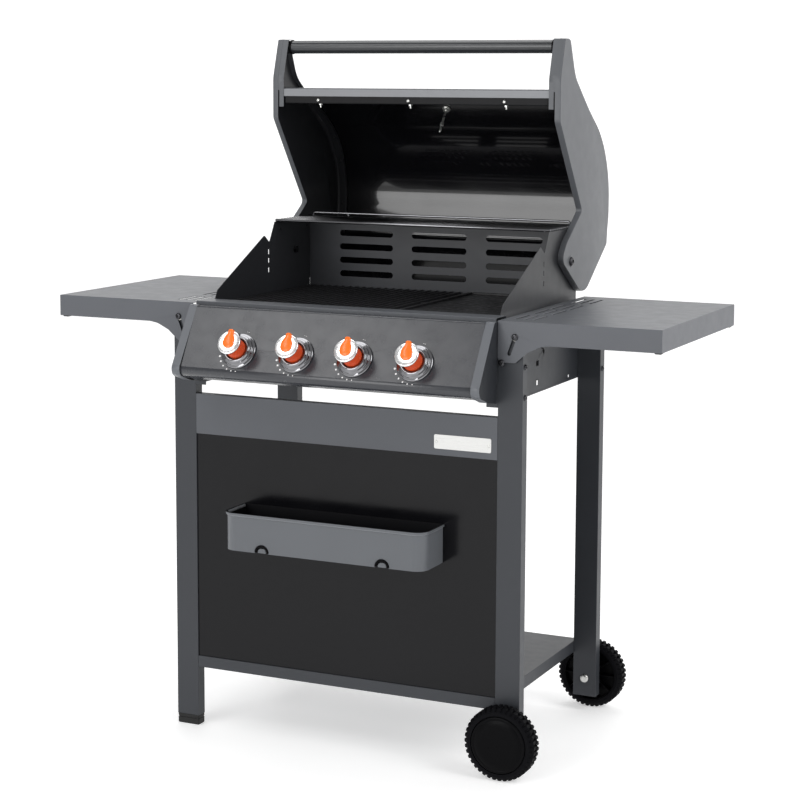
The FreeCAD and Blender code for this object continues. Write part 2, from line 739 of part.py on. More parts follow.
def shell_path():
    """The outside of the rolled shell in (y, z): lip, flat top, long curve and the low back edge."""
    return [(at.lip_y, 1262), (at.lip_y, 1278.5, 3), (182, 1278.5, 50), (369.5, 1148.5, 194),
            (366.5, 1012, 119), (353.5, 956.5, 13.5), (228, 871.8)]


def on_dial_axis(item, out):
    """The item set square to the shell's slope, out from the middle of its straight stretch."""
    bend, shoulder = shell_path()[2:4]
    slope = math.atan2(bend[1] - shoulder[1], shoulder[0] - bend[0])
    away = Vector(0, math.sin(slope), math.cos(slope))
    foot = Vector(0, bend[0], bend[1]) + Vector(0, math.cos(slope), -math.sin(slope)) * DIAL_DROP
    turn = FreeCAD.Rotation(Vector(1, 0, 0), -math.degrees(slope))
    item.Placement = FreeCAD.Placement(foot + away * out, turn)
    for axis in "xyz":
        item.setExpression(f"Placement.Base.{axis}", None)
    return item


def wall_slits():
    """Narrow slits that let the front corners of the side walls through as the lid closes."""
    return [box("wall_slit", mirrored(sign, "box_half - sheet - 0.8", "box_half + 0.8"),
                ("lip_y - 5", "lip_y + 5"), (1230, 1274)) for sign in SIDES.values()]


def make_lid():
    """Two end plates, the rolled shell between them, the handle and the hinge bolts."""
    for side, sign in SIDES.items():
        plate = flat_plate(f"lid_{side}", lid_outline(), sign * at.lid_half)
        across = mirrored(sign, "lid_half - sheet", "lid_half")
        bore = rod("lid_bore", "hinge_radius + running_gap", "sheet", (across[0], "hinge_y", "hinge_z"),
                   "x")
        keep(cut(f"lid_{side}_drilled", plate, [bore]), f"lid_{side}_end")

    shell = bent_sheet("shell", shell_path()[::-1], "2 * (lid_half - sheet)")
    probe_hole = on_dial_axis(rod("probe_hole", PROBE_RADIUS, 8, (0, 0, 0)), -6)
    keep(cut("pierced_shell", shell, [probe_hole, *wall_slits()]), "lid_shell")
    keep(bent_sheet("stiffener", [(at.lip_y + 1, 1262), (at.lip_y + 1, 1247, 2), (92, 1247)], 584),
         "lid_front_bar")

    horn = [(67, 1240), (67, 1300, 55), (90.3, 1378.7, 4), (113, 1378.7)]
    horns = [bent_sheet("horn", horn[::-1], 24, x=sign * (at.lid_half - at.sheet - 12))
             for sign in SIDES.values()]
    horns = [cut("slit_horn", horn, [slit]) for horn, slit in zip(horns, wall_slits())]
    keep(group("horn_pair", horns), "handle_brackets")
    start = ("-lid_half + sheet", "handle_y", "handle_z")
    outside = rod("handle_tube", "handle_radius", "2 * (lid_half - sheet)", start, "x")
    inside = rod("handle_bore", "handle_radius - 1.2", "2 * (lid_half - sheet)", start, "x")
    keep(cut("handle", outside, [inside]), "handle_bar")


def make_thermometer():
    """A dial on the outside of the lid, with its probe reaching inside and a nut on the probe."""
    body = on_dial_axis(new_body("dial"), 0)
    sketch = new_sketch(body, "XZ")
    draw(sketch, [(0, -62), (PROBE_RADIUS, -62), (PROBE_RADIUS, -12), (8, -12), (8, -2),
                  (PROBE_RADIUS, -2), (PROBE_RADIUS, RESTING_GAP), (29, RESTING_GAP), (29, 9, 2),
                  (0, 11)])
    revolve(body, sketch)
    keep(body, "lid_thermometer")


def make_hinge_bolts():
    """Hinge bolts with their heads outside the lid, a spacer inside it and a nut in the firebox."""
    bolts = []
    for sign in SIDES.values():
        pieces_along_x = []
        for name, radius, low, high in (
            ("hinge_nut", 8, "box_half - sheet - 6", "box_half - sheet"),
            ("hinge_shank", "hinge_radius", "box_half - sheet - 6", "lid_half + 0.5"),
            ("hinge_spacer", 9, "box_half", "lid_half - sheet - 0.5"),
            ("hinge_head", 9.5, "lid_half + 0.5", "lid_half + 5"),
        ):
            start = mirrored(sign, low, high)[0]
            pieces_along_x.append(rod(name, radius, f"({high}) - ({low})",
                                      (start, "hinge_y", "hinge_z"), "x"))
        bolts.append(fuse("hinge_bolt", pieces_along_x))
    keep(group("hinge_bolt_pair", bolts), "lid_hinge_bolts")


# ---- basket ----

def make_basket():
    """A rounded trough with a rolled rim that hooks into the front panel's two slots."""
    half, front, back, wall = at.basket_half, at.basket_front, at.basket_back, at.sheet
    inside = [(-half + wall, back - wall), (-half + wall, front + wall, 23),
              (half - wall, front + wall, 23), (half - wall, back - wall)]
    body = new_body("trough", 0, 0, "basket_bottom")
    outline = new_sketch(body, "XY")
    draw(outline, [(-half, back), (-half, front, 24), (half, front, 24), (half, back)])
    pad(body, outline, "basket_top - basket_bottom")
    hollow = new_sketch(body, "XY", "basket_top - basket_bottom")
    draw(hollow, inside)
    cavity = body.newObject("PartDesign::Pocket", "trough_cavity")
    cavity.Profile = hollow
    cavity.setExpression("Length", linked("basket_top - basket_bottom - sheet"))
    rim = new_sketch(body, "XY", "basket_top - basket_bottom")
    draw(rim, [(-half - 3, back), (-half - 3, front - 3, 27), (half + 3, front - 3, 27),
               (half + 3, back)])
    draw(rim, inside)
    pad(body, rim, 4)

    hooks = []
    for place in HOOK_PLACES:
        across = (place - 3, place + 3)
        hooks.append(box("hook_arm", across, ("basket_back", "basket_back + 4.5"),
                         ("basket_top - 46", "basket_top - 34")))
        hooks.append(box("hook_tip", across, ("basket_back + 2.9", "basket_back + 4.5"),
                         ("basket_top - 58", "basket_top - 34")))
    tool_cuts = [rod("tool_cut", 14, 12, (x, front - 1, "basket_bottom + 2"), "y") for x in (-128, 128)]
    keep(fuse("basket_with_hooks", [cut("cut_trough", body, tool_cuts), *hooks]), "front_basket")


def build():
    make_legs()
    make_feet()
    make_stand_panels()
    make_side_panels()
    make_frame_bolts()
    make_wheels()
    make_wheel_bolts()
    make_tables()
    make_table_bolts()
    make_firebox()
    make_rim()
    make_grease_tray()
    make_burners()
    make_cooking_surfaces()
    make_control_panel()
    make_knobs()
    make_gas_train()
    make_lid()
    make_thermometer()
    make_hinge_bolts()
    make_basket()


build()
doc.recompute()

broken = [item.Name for item in doc.Objects if {"Invalid", "Error"} & set(item.State)]
broken += [item.Label for item in pieces if item.Shape.isNull() or not item.Shape.isValid()]
if broken:
    raise SystemExit(f"these objects failed: {broken}")
os.makedirs("parts", exist_ok=True)
for piece in pieces:
    piece.Shape.exportStep(f"parts/{piece.Label}.step")
print(len(pieces), "pieces written")
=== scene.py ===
"""Looks of the gas barbecue grill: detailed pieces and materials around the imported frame.

Metres, in the frame's own axes: X right, Y back, Z up. The lid is open at rest. Profiles and outlines
are written in millimetres, and in_metres or MM turns them into metres.
"""

import json
import math

import bmesh
import bpy
from mathutils import Matrix, Vector


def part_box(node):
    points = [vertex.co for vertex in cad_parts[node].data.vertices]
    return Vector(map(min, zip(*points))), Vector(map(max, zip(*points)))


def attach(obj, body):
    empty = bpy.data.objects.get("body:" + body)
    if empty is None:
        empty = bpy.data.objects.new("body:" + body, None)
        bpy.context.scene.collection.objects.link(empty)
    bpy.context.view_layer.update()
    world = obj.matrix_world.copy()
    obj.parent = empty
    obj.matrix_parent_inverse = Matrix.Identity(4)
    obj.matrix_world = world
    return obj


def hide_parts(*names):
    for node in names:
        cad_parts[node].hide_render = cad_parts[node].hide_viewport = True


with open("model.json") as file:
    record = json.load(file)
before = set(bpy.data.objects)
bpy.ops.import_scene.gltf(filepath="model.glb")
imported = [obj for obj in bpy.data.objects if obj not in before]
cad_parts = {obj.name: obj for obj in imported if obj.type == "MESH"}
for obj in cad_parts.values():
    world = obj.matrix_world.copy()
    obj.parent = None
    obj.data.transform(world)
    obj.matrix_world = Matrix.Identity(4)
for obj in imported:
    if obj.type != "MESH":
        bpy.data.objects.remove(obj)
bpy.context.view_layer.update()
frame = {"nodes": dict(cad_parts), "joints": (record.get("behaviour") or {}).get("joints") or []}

MM = 0.001
SIDES = (("left", -1), ("right", 1))
KNOB_NUMBERS = range(1, 5)


# ---- materials ----

# The sockets of a colour Mix node go by number, because several share a name.
MIX_FACTOR, MIX_DARK, MIX_LIGHT, MIX_RESULT = 0, 6, 7, 2
# Most values of a noise texture lie between these two.
NOISE_LOW, NOISE_HIGH = 0.3, 0.7


def shader_of(material):
    return material.node_tree.nodes["Principled BSDF"]


def new_material(name, colour, roughness, metallic=0.0, coat=0.0, coat_roughness=0.05, shine=0.28):
    """A material with its constants on the shader's own sockets."""
    material = bpy.data.materials.new(name)
    material.use_nodes = True
    shader = shader_of(material)
    shader.inputs["Base Color"].default_value = (*colour, 1)
    shader.inputs["Roughness"].default_value = roughness
    shader.inputs["Metallic"].default_value = metallic
    shader.inputs["Specular IOR Level"].default_value = shine
    shader.inputs["Coat Weight"].default_value = coat
    shader.inputs["Coat Roughness"].default_value = coat_roughness
    return material


def add_node(material, kind, **sockets):
    node = material.node_tree.nodes.new(kind)
    for socket, value in sockets.items():
        node.inputs[socket].default_value = value
    return node


def wire(material, source, output, target, socket):
    material.node_tree.links.new(source.outputs[output], target.inputs[socket])


def noise(material, scale, detail=3.0, stretch=(1, 1, 1)):
    """Noise in the object's own coordinates, scale in cells a metre."""
    place = add_node(material, "ShaderNodeTexCoord")
    mapping = add_node(material, "ShaderNodeMapping", Scale=stretch)
    texture = add_node(material, "ShaderNodeTexNoise", Scale=scale, Detail=detail)
    wire(material, place, "Object", mapping, "Vector")
    wire(material, mapping, "Vector", texture, "Vector")
    return texture


def vary_colour(material, texture, dark, light):
    """The base colour runs from dark to light with the texture."""
    mix = add_node(material, "ShaderNodeMix")
    mix.data_type = "RGBA"
    mix.inputs[MIX_DARK].default_value = (*dark, 1)
    mix.inputs[MIX_LIGHT].default_value = (*light, 1)
    wire(material, texture, 0, mix, MIX_FACTOR)
    wire(material, mix, MIX_RESULT, shader_of(material), "Base Color")


def vary_roughness(material, texture, low, high):
    spread = add_node(material, "ShaderNodeMapRange")
    spread.inputs["From Min"].default_value = NOISE_LOW
    spread.inputs["From Max"].default_value = NOISE_HIGH
    spread.inputs["To Min"].default_value = low
    spread.inputs["To Max"].default_value = high
    wire(material, texture, 0, spread, "Value")
    wire(material, spread, 0, shader_of(material), "Roughness")


def raise_bumps(material, texture, strength, depth):
    bump = add_node(material, "ShaderNodeBump", Strength=strength, Distance=depth)
    wire(material, texture, 0, bump, "Height")
    wire(material, bump, "Normal", shader_of(material), "Normal")


def scaled(colour, factor):
    return tuple(min(channel * factor, 1.0) for channel in colour)


def powder_coat(name, colour, roughness=0.42, grain=0.10, shine=0.28):
    """Baked powder paint: a fine orange peel with a soft mottle."""
    material = new_material(name, colour, roughness, coat=0.05, coat_roughness=0.3, shine=shine)
    vary_colour(material, noise(material, scale=9, detail=5), scaled(colour, 0.96), scaled(colour, 1.04))
    vary_roughness(material, noise(material, scale=40, detail=4), roughness - 0.03, roughness + 0.03)
    raise_bumps(material, noise(material, scale=1400, detail=2), grain, 0.15 * MM)
    return material


def enamel(name, colour, roughness, ripple, coat, shine=0.28):
    """Glossy stove enamel: a hard coat over dark paint, with a slow ripple."""
    material = new_material(name, colour, roughness, coat=coat, coat_roughness=0.04, shine=shine)
    vary_colour(material, noise(material, scale=5), scaled(colour, 0.85), scaled(colour, 1.2))
    vary_roughness(material, noise(material, scale=14, detail=4), roughness * 0.8, roughness * 1.3)
    raise_bumps(material, noise(material, scale=45, detail=2), ripple, 0.4 * MM)
    return material


def casting(name, colour, roughness):
    """Enamelled cast iron: a pebbly skin with duller hollows."""
    material = new_material(name, colour, roughness, coat=0.25, coat_roughness=0.25)
    vary_colour(material, noise(material, scale=60, detail=6), scaled(colour, 0.6), scaled(colour, 1.5))
    vary_roughness(material, noise(material, scale=90, detail=4), roughness - 0.12, roughness + 0.15)
    raise_bumps(material, noise(material, scale=600, detail=4), 0.35, 0.3 * MM)
    return material


def brushed(name, colour, roughness):
    """Brushed metal, with its scratches along X."""
    material = new_material(name, colour, roughness, metallic=1.0)
    lines = noise(material, scale=1500, stretch=(0.02, 1, 1))
    vary_colour(material, lines, scaled(colour, 0.85), scaled(colour, 1.1))
    vary_roughness(material, lines, roughness - 0.08, roughness + 0.12)
    raise_bumps(material, lines, 0.08, 0.1 * MM)
    return material


def plated(name, colour, roughness):
    """Bright plating with faint handling marks."""
    material = new_material(name, colour, roughness, metallic=1.0)
    vary_colour(material, noise(material, scale=30), scaled(colour, 0.94), scaled(colour, 1.05))
    vary_roughness(material, noise(material, scale=160, detail=5), roughness * 0.7, roughness * 1.5)
    return material


def moulded(name, colour, roughness, grain=0.06, coat=0.0, shine=0.28):
    """Injection-moulded plastic or rubber with a fine spark texture."""
    material = new_material(name, colour, roughness, coat=coat, coat_roughness=0.15, shine=shine)
    vary_colour(material, noise(material, scale=25, detail=4), scaled(colour, 0.9), scaled(colour, 1.1))
    vary_roughness(material, noise(material, scale=120, detail=4), roughness - 0.05, roughness + 0.07)
    raise_bumps(material, noise(material, scale=2200, detail=2), grain, 0.12 * MM)
    return material


RAIL_GREY = powder_coat("rail_grey", (0.085, 0.090, 0.101))
# A lighter grey for the front faces of the lid's lip: a painted sheen of the front light.
LIP_PAINTED_SHEEN = powder_coat("lip_painted_sheen", (0.22, 0.226, 0.24), 0.32, 0.05)
BACK_GREY = powder_coat("back_grey", (0.050, 0.052, 0.058), 0.36, 0.06)
FRAME_GREY = powder_coat("frame_grey", (0.036, 0.039, 0.045))
TABLE_GREY = powder_coat("table_grey", (0.098, 0.103, 0.115), 0.4, 0.08)
PANEL_GREY = powder_coat("panel_grey", (0.032, 0.034, 0.040), 0.26, 0.04, 0.5)
TRIM_GREY = powder_coat("trim_grey", (0.078, 0.083, 0.093), 0.4, 0.08)
# The panel's end caps are two copies of one paint, picked by face direction: a lighter grey as a painted
# highlight on their front band, and a darker grey as painted shade on their side faces.
CAP_PAINTED_HIGHLIGHT = powder_coat("cap_painted_highlight", (0.120, 0.127, 0.140), 0.36, 0.08)
CAP_SIDE_PAINTED_SHADE = powder_coat("cap_side_painted_shade", (0.022, 0.024, 0.028), 0.4, 0.08)
LID_GREY = powder_coat("lid_grey", (0.098, 0.103, 0.112), 0.38, 0.06)
DOOR_BLACK = enamel("door_black", (0.004, 0.004, 0.005), 0.16, 0.02, 0.0, 0.2)
LID_BLACK = enamel("lid_black", (0.004, 0.004, 0.005), 0.14, 0.03, 0.7)
BAR_BLACK = powder_coat("bar_black", (0.008, 0.008, 0.009), 0.5, 0.05, 0.12)
FIREBOX_BLACK = powder_coat("firebox_black", (0.022, 0.023, 0.026), 0.38, 0.08)
CAST_BLACK = casting("cast_black", (0.008, 0.008, 0.009), 0.45)
STEEL = brushed("steel", (0.55, 0.55, 0.54), 0.32)
DISC_STEEL = plated("disc_steel", (0.95, 0.95, 0.95), 0.22)
ZINC = plated("zinc", (0.62, 0.62, 0.60), 0.28)
CHROME = plated("chrome", (0.25, 0.25, 0.262), 0.05)
DARK_CHROME = plated("dark_chrome", (0.20, 0.20, 0.21), 0.16)
DARK_ZINC = plated("dark_zinc", (0.06, 0.06, 0.065), 0.3)
BRASS = plated("brass", (0.72, 0.50, 0.20), 0.3)
HANDLE_DARK = powder_coat("handle_dark", (0.018, 0.020, 0.023), 0.24, 0.03, 0.55)
ORANGE = moulded("orange", (0.95, 0.17, 0.012), 0.3, 0.03, 0.5)
ORANGE_DARK = moulded("orange_dark", (0.55, 0.06, 0.012), 0.35, 0.04, 0.4)
TYRE = moulded("tyre", (0.003, 0.003, 0.004), 0.6, 0.25, shine=0.06)
CAP_BLACK = moulded("cap_black", (0.0025, 0.0025, 0.003), 0.32, 0.08, shine=0.05)
FOOT_BLACK = moulded("foot_black", (0.012, 0.012, 0.012), 0.5, 0.15)
SPACER_WHITE = moulded("spacer_white", (0.62, 0.61, 0.58), 0.45)
CERAMIC = moulded("ceramic", (0.8, 0.79, 0.75), 0.2, 0.02, 0.6)
PRINT_WHITE = moulded("print_white", (0.85, 0.85, 0.85), 0.5, 0.02)
# Black for the dial's printed marks, and for the burner ports, where it is painted shade standing in for
# holes.
PRINT_AND_PORT_SHADE_BLACK = moulded("print_and_port_shade_black", (0.01, 0.01, 0.01), 0.5, 0.02)
BASKET_GREY = powder_coat("basket_grey", (0.110, 0.117, 0.128), 0.36, 0.05)
# A lighter grey on the rolled rim than on the basket: a painted highlight along the roll.
BASKET_RIM_PAINTED_HIGHLIGHT = powder_coat("basket_rim_painted_highlight", (0.17, 0.178, 0.19), 0.3, 0.04)
# Near-black for the basket's inner faces: painted shade inside its hollow.
BASKET_INSIDE_PAINTED_SHADE = powder_coat("basket_inside_painted_shade", (0.004, 0.004, 0.005), 0.45, 0.05, 0.1)


# ---- mesh building ----

def in_metres(corners):
    return [tuple(value * MM for value in corner) for corner in corners]


def rounded(corners, closed=True, turn_step=math.radians(5)):
    """The outline through (u, v) or (u, v, radius) corners, as points, with arcs at the radii."""
    points = []
    count = len(corners)
    for number, corner in enumerate(corners):
        here = Vector(corner[:2])
        radius = corner[2] if len(corner) > 2 else 0
        at_end = not closed and number in (0, count - 1)
        if not radius or at_end:
            points.append(here)
            continue
        back = (Vector(corners[number - 1][:2]) - here).normalized()
        ahead = (Vector(corners[(number + 1) % count][:2]) - here).normalized()
        half = back.angle(ahead) / 2
        centre = here + (back + ahead).normalized() * (radius / math.sin(half))
        spoke = here + back * (radius / math.tan(half)) - centre
        turn = math.pi - 2 * half
        side = 1 if back.x * ahead.y - back.y * ahead.x < 0 else -1
        steps = max(2, math.ceil(turn / turn_step))
        for step in range(steps + 1):
            points.append(centre + Matrix.Rotation(side * turn * step / steps, 2) @ spoke)
    return points


def offset(points, distance, closed=True):
    """The outline moved to its left by a distance, one for all points or one for each."""
    count = len(points)
    distances = distance if isinstance(distance, list) else [distance] * count
    moved = []
    for number, here in enumerate(points):
        before = points[number - 1] if closed or number else here
        after = points[(number + 1) % count] if closed or number < count - 1 else here
        first = (here - before).normalized()
        second = (after - here).normalized()
        if first.length == 0:
            first = second
        if second.length == 0:
            second = first
        left = Vector((-first.y - second.y, first.x + second.x)).normalized()
        spread = max(math.sqrt(max((1 + first.dot(second)) / 2, 0)), 0.3)
        moved.append(here + left * (distances[number] / spread))
    return moved


def loft(rings, caps=True):
    """Points and faces of the skin between rings of equally many points."""
    count = len(rings[0])
    points = [Vector(point) for ring in rings for point in ring]
    faces = []
    for ring in range(len(rings) - 1):
        for number in range(count):
            after = (number + 1) % count
            faces.append((ring * count + number, ring * count + after,
                          (ring + 1) * count + after, (ring + 1) * count + number))
    if caps:
        faces.append(tuple(range(count - 1, -1, -1)))
        faces.append(tuple(range((len(rings) - 1) * count, len(rings) * count)))
    return points, faces


def looped(rings):
    """The skin round a closed run of rings, with the last one joined to the first."""
    points, faces = loft(rings + rings[:1], caps=False)
    whole = len(rings) * len(rings[0])
    return points[:whole], [tuple(index % whole for index in face) for face in faces]


def layered(outline, layers):
    """A solid with its outline drawn in at each (height, inset) layer, in millimetres."""
    return loft([[(u, v, height * MM) for u, v in offset(outline, inset * MM)] for height, inset in layers])


def lathe(profile, sides=48):
    """A turned solid around Z, from (radius, height) points that start and end on the axis."""
    rings = []
    for radius, height in profile[1:-1]:
        rings.append([(radius * math.cos(math.tau * side / sides),
                       radius * math.sin(math.tau * side / sides), height) for side in range(sides)])
    points, faces = loft(rings, caps=False)
    low, high = len(points), len(points) + 1
    points += [Vector((0, 0, profile[0][1])), Vector((0, 0, profile[-1][1]))]
    last = (len(rings) - 1) * sides
    for side in range(sides):
        after = (side + 1) % sides
        faces.append((low, after, side))
        faces.append((high, last + side, last + after))
    return points, faces


def shaft(radius, low, high, sides=48):
    """A plain turned length between two heights."""
    return lathe([(0, low), (radius, low), (radius, high), (0, high)], sides)


def tube_ring(profile, sides=48):
    """A turned ring around Z, from a closed (radius, height) outline clear of the axis."""
    rings = []
    for side in range(sides):
        angle = math.tau * side / sides
        rings.append([(radius * math.cos(angle), radius * math.sin(angle), height)
                      for radius, height in profile])
    return looped(rings)


def pipe(line, radius, up=(0, 0, 1), sides=16):
    """A round bar along a line of points that lies in a plane with up as its normal."""
    rings = []
    line = [Vector(point) for point in line]
    for number, here in enumerate(line):
        before = line[max(number - 1, 0)]
        after = line[min(number + 1, len(line) - 1)]
        ahead = (after - before).normalized()
        across = ahead.cross(Vector(up)).normalized()
        over = across.cross(ahead)
        rings.append([here + across * radius * math.cos(math.tau * side / sides)
                      + over * radius * math.sin(math.tau * side / sides) for side in range(sides)])
    return loft(rings)


def rod_between(start, end, radius, sides=16):
    """A rod with rounded ends."""
    start, end = Vector(start), Vector(end)
    length = (end - start).length
    nose = radius * 0.5
    profile = [(0, 0), (radius * 0.6, 0), (radius, nose), (radius, length - nose),
               (radius * 0.6, length), (0, length)]
    return placed(lathe(profile, sides), facing(start, end - start))


def in_space(u, v, height, axis):
    """A point of a drawing across an axis: x takes (y, z), y takes (x, z) and z takes (x, y)."""
    return {"x": (height, u, v), "y": (u, height, v), "z": (u, v, height)}[axis]


def prism(outline, low, high, axis):
    """A plate of the outline's shape between low and high along an axis."""
    return loft([[in_space(u, v, height, axis) for u, v in outline] for height in (low, high)])


def block(low, high):
    outline = [(low[0], low[1]), (high[0], low[1]), (high[0], high[1]), (low[0], high[1])]
    return prism(outline, low[2], high[2], "z")


def placed(part, matrix):
    points, faces = part
    return [matrix @ Vector(point) for point in points], faces


def facing(origin, direction, roll=0.0):
    """The placement that turns a part's own Z to face along a direction."""
    turn = Vector(direction).to_track_quat("Z", "Y").to_matrix().to_4x4()
    return Matrix.Translation(Vector(origin)) @ turn @ Matrix.Rotation(roll, 4, "Z")


def piece(name, parts, body, materials, replaces=(), bevel=0.0, sharp=35, pick=None):
    """One object made of closed parts, which rides on a body. pick chooses a material for a face."""
    mesh = bpy.data.meshes.new(name)
    points, faces = [], []
    for part_points, part_faces in parts:
        start = len(points)
        points += [tuple(point) for point in part_points]
        faces += [tuple(start + index for index in face) for face in part_faces]
    mesh.from_pydata(points, [], faces)
    work = bmesh.new()
    work.from_mesh(mesh)
    bmesh.ops.recalc_face_normals(work, faces=work.faces)
    work.to_mesh(mesh)
    work.free()
    for material in materials:
        mesh.materials.append(material)
    for face in mesh.polygons:
        face.use_smooth = True
        if pick:
            face.material_index = pick(face)
    mesh.set_sharp_from_angle(angle=math.radians(sharp))
    item = bpy.data.objects.new(name, mesh)
    bpy.context.scene.collection.objects.link(item)
    if bevel:
        round_edges(item, bevel)
    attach(item, body)
    if replaces:
        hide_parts(*replaces)


def round_edges(item, width):
    edges = item.modifiers.new("rounded_edges", "BEVEL")
    edges.width = width
    edges.segments = 2
    edges.limit_method = "ANGLE"
    edges.angle_limit = math.radians(32)
    edges.harden_normals = True


def joint(name):
    return next(item for item in frame["joints"] if item["name"] == name)


def middle(node):
    low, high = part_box(node)
    return (low + high) / 2


# ---- frame nodes that keep their shape ----

# Each finish has its material, its bevel in millimetres and its nodes.
NODE_FINISHES = (
    (FRAME_GREY, 0.8, ("left_front_leg", "left_rear_leg", "right_front_leg", "right_rear_leg",
                       "bottom_shelf", "lower_side_panels")),
    (RAIL_GREY, 0.8, ("upper_front_rail",)),
    (TRIM_GREY, 0.5, ("front_rim",)),
    (DOOR_BLACK, 0.5, ("front_panel",)),
    (STEEL, 0.3, ("blank_badge_plate",)),
    (TABLE_GREY, 0.4, ("left_side_table", "right_side_table")),
    (FOOT_BLACK, 1.5, ("left_table_bumpers", "right_table_bumpers")),
    (SPACER_WHITE, 0.3, ("left_pivot_spacers", "right_pivot_spacers")),
    (BACK_GREY, 0.3, ("firebox_back_wall",)),
    (FIREBOX_BLACK, 0.3, ("firebox_tub", "firebox_left_wall", "firebox_right_wall", "rear_grate_ledge")),
    (PANEL_GREY, 0.3, ("control_panel",)),
    # The end caps' lighter grey is a painted highlight.
    (CAP_PAINTED_HIGHLIGHT, 0.5, ("panel_end_caps",)),
    (STEEL, 0.3, ("tray_rails", "grease_tray", "flame_tamers", "burners")),
    (ZINC, 0, ("gas_manifold",)),
    (BRASS, 0.4, ("gas_valves", "gas_inlet_fitting")),
    (CERAMIC, 0.4, ("igniter_electrodes",)),
    (CAST_BLACK, 1.2, ("griddle",)),
    (BASKET_GREY, 0.4, ("front_basket",)),
    (BAR_BLACK, 0.4, ("lid_front_bar",)),
    (LID_GREY, 0.4, ("handle_brackets",)),
    (STEEL, 0, tuple(f"valve_stem_{number}" for number in KNOB_NUMBERS)),
)


def finish_node(node, material, bevel):
    """A CAD node whose shape stays: its material, and softened edges."""
    item = frame["nodes"][node]
    item.data.materials.clear()
    item.data.materials.append(material)
    if bevel:
        weld = item.modifiers.new("joined_corners", "WELD")
        weld.merge_threshold = 0.01 * MM
        round_edges(item, bevel)


def paint_faces(node, material, wanted):
    """A second material on the faces of a CAD node that are wanted."""
    mesh = frame["nodes"][node].data
    mesh.materials.append(material)
    for face in mesh.polygons:
        if wanted(face):
            face.material_index = 1


def finish_frame_nodes():
    for material, bevel, nodes in NODE_FINISHES:
        for node in nodes:
            finish_node(node, material, bevel * MM)
    # The end caps' side faces take the darker grey: painted shade, chosen by face direction.
    paint_faces("panel_end_caps", CAP_SIDE_PAINTED_SHADE, lambda face: abs(face.normal.x) > 0.7)

    basket_heart = middle("front_basket")
    basket_heart.z += 40 * MM
    basket_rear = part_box("front_basket")[1].y - 12 * MM

    def inside_basket(face):
        return face.normal.dot(basket_heart - face.center) > 0 or face.center.y > basket_rear

    # Faces turned into the basket, and its back strip, take the near-black: painted shade inside the
    # hollow.
    paint_faces("front_basket", BASKET_INSIDE_PAINTED_SHADE, inside_basket)


# ---- wheels and feet ----

FOOT_DEPTH = 24
FOOT_CORNER = 3
# Height and inset: a lip at the ground, and a moulding groove half way up.
FOOT_LAYERS = ((0, 1.2), (1.5, 0), (12, 0), (12.6, 0.8), (14, 0.8), (14.6, 0), (20, 0))


def make_feet():
    """Moulded caps on the left legs, a little proud of the tube, with a lip and a moulding groove."""
    low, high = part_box("leg_foot_caps")
    depth, radius = FOOT_DEPTH * MM, FOOT_CORNER * MM
    parts = []
    for front in (low.y, high.y - depth):
        rings = []
        for height, inset in FOOT_LAYERS:
            gap = inset * MM
            left, right, near, far = low.x + gap, high.x - gap, front + gap, front + depth - gap
            corners = [(left, near, radius), (right, near, radius), (right, far, radius),
                       (left, far, radius)]
            rings.append([(u, v, low.z + height * MM) for u, v in rounded(corners)])
        parts.append(loft(rings))
    piece("foot_caps_moulded", parts, "root", [FOOT_BLACK], ["leg_foot_caps"])


TYRE_HEIGHT = 14
LUG_COUNT = 40
LUG_DEPTH = 3.2
# One lug's share of the tyre's turn: the gap, and then the block.
LUG_STEPS = (0, 0, 1, 1, 1, 1)
RIB_COUNT = 10
AXLE_BORE = 5.1


def tread(radius, width, seat):
    """The tyre: two staggered rows of blocks that wrap over the shoulders, and plain side walls."""
    # Height across the tyre, the row of blocks that the line belongs to, and the line's radius.
    lines = ((0, None, seat), (0, None, radius - 9), (1.5, None, radius - 6.5), (3, 0, radius - 4.5),
             (6.5, 0, radius), (17, 0, radius), (18, None, radius - 4), (20, None, radius - 4),
             (21, 1, radius), (width - 6.5, 1, radius), (width - 3, 1, radius - 4.5),
             (width - 1.5, None, radius - 6.5), (width, None, radius - 9), (width, None, seat))
    sides = LUG_COUNT * len(LUG_STEPS)
    rings = []
    for side in range(sides):
        angle = math.tau * side / sides
        ring = []
        for height, row, reach in lines:
            if row is not None:
                step = (side + row * len(LUG_STEPS) // 2) % len(LUG_STEPS)
                reach -= LUG_DEPTH * (1 - LUG_STEPS[step])
            ring.append((reach * MM * math.cos(angle), reach * MM * math.sin(angle), height * MM))
        rings.append(ring)
    return looped(rings)


def wheel_rim(seat, width):
    """The web, hub, rim and ribs of a wheel, with its inner side at height 0."""
    web = tube_ring(in_metres([(14, 14), (seat, 14), (seat, 18), (14, 18)]), 96)
    hub = tube_ring(in_metres([(AXLE_BORE, 0.5), (13, 0.5), (15, 3), (15, 24), (AXLE_BORE, 24)]))
    rim = tube_ring(in_metres([(seat - 3, 2), (seat, 1), (seat, width - 9), (seat - 3, width - 9)]), 96)
    rib = block((13 * MM, -1.2 * MM, 3 * MM), ((seat - 2) * MM, 1.2 * MM, 15 * MM))
    ribs = [placed(rib, Matrix.Rotation(math.tau * number / RIB_COUNT, 4, "Z"))
            for number in range(RIB_COUNT)]
    return [web, hub, rim, *ribs]


def wheel_cap(width):
    """The smooth snap-in cap: a raised rim, a groove inside it and a low dome."""
    face = width + 2
    profile = ((0, width - 6), (53, width - 6), (54, width - 5), (54, width - 0.5), (53.2, width + 0.5),
               (49.5, width + 0.9), (48.6, width + 0.3), (47.4, width + 0.3), (46.5, face - 1.0),
               (34, face - 0.35), (18, face - 0.05), (0, face))
    return lathe(in_metres(profile), 120)


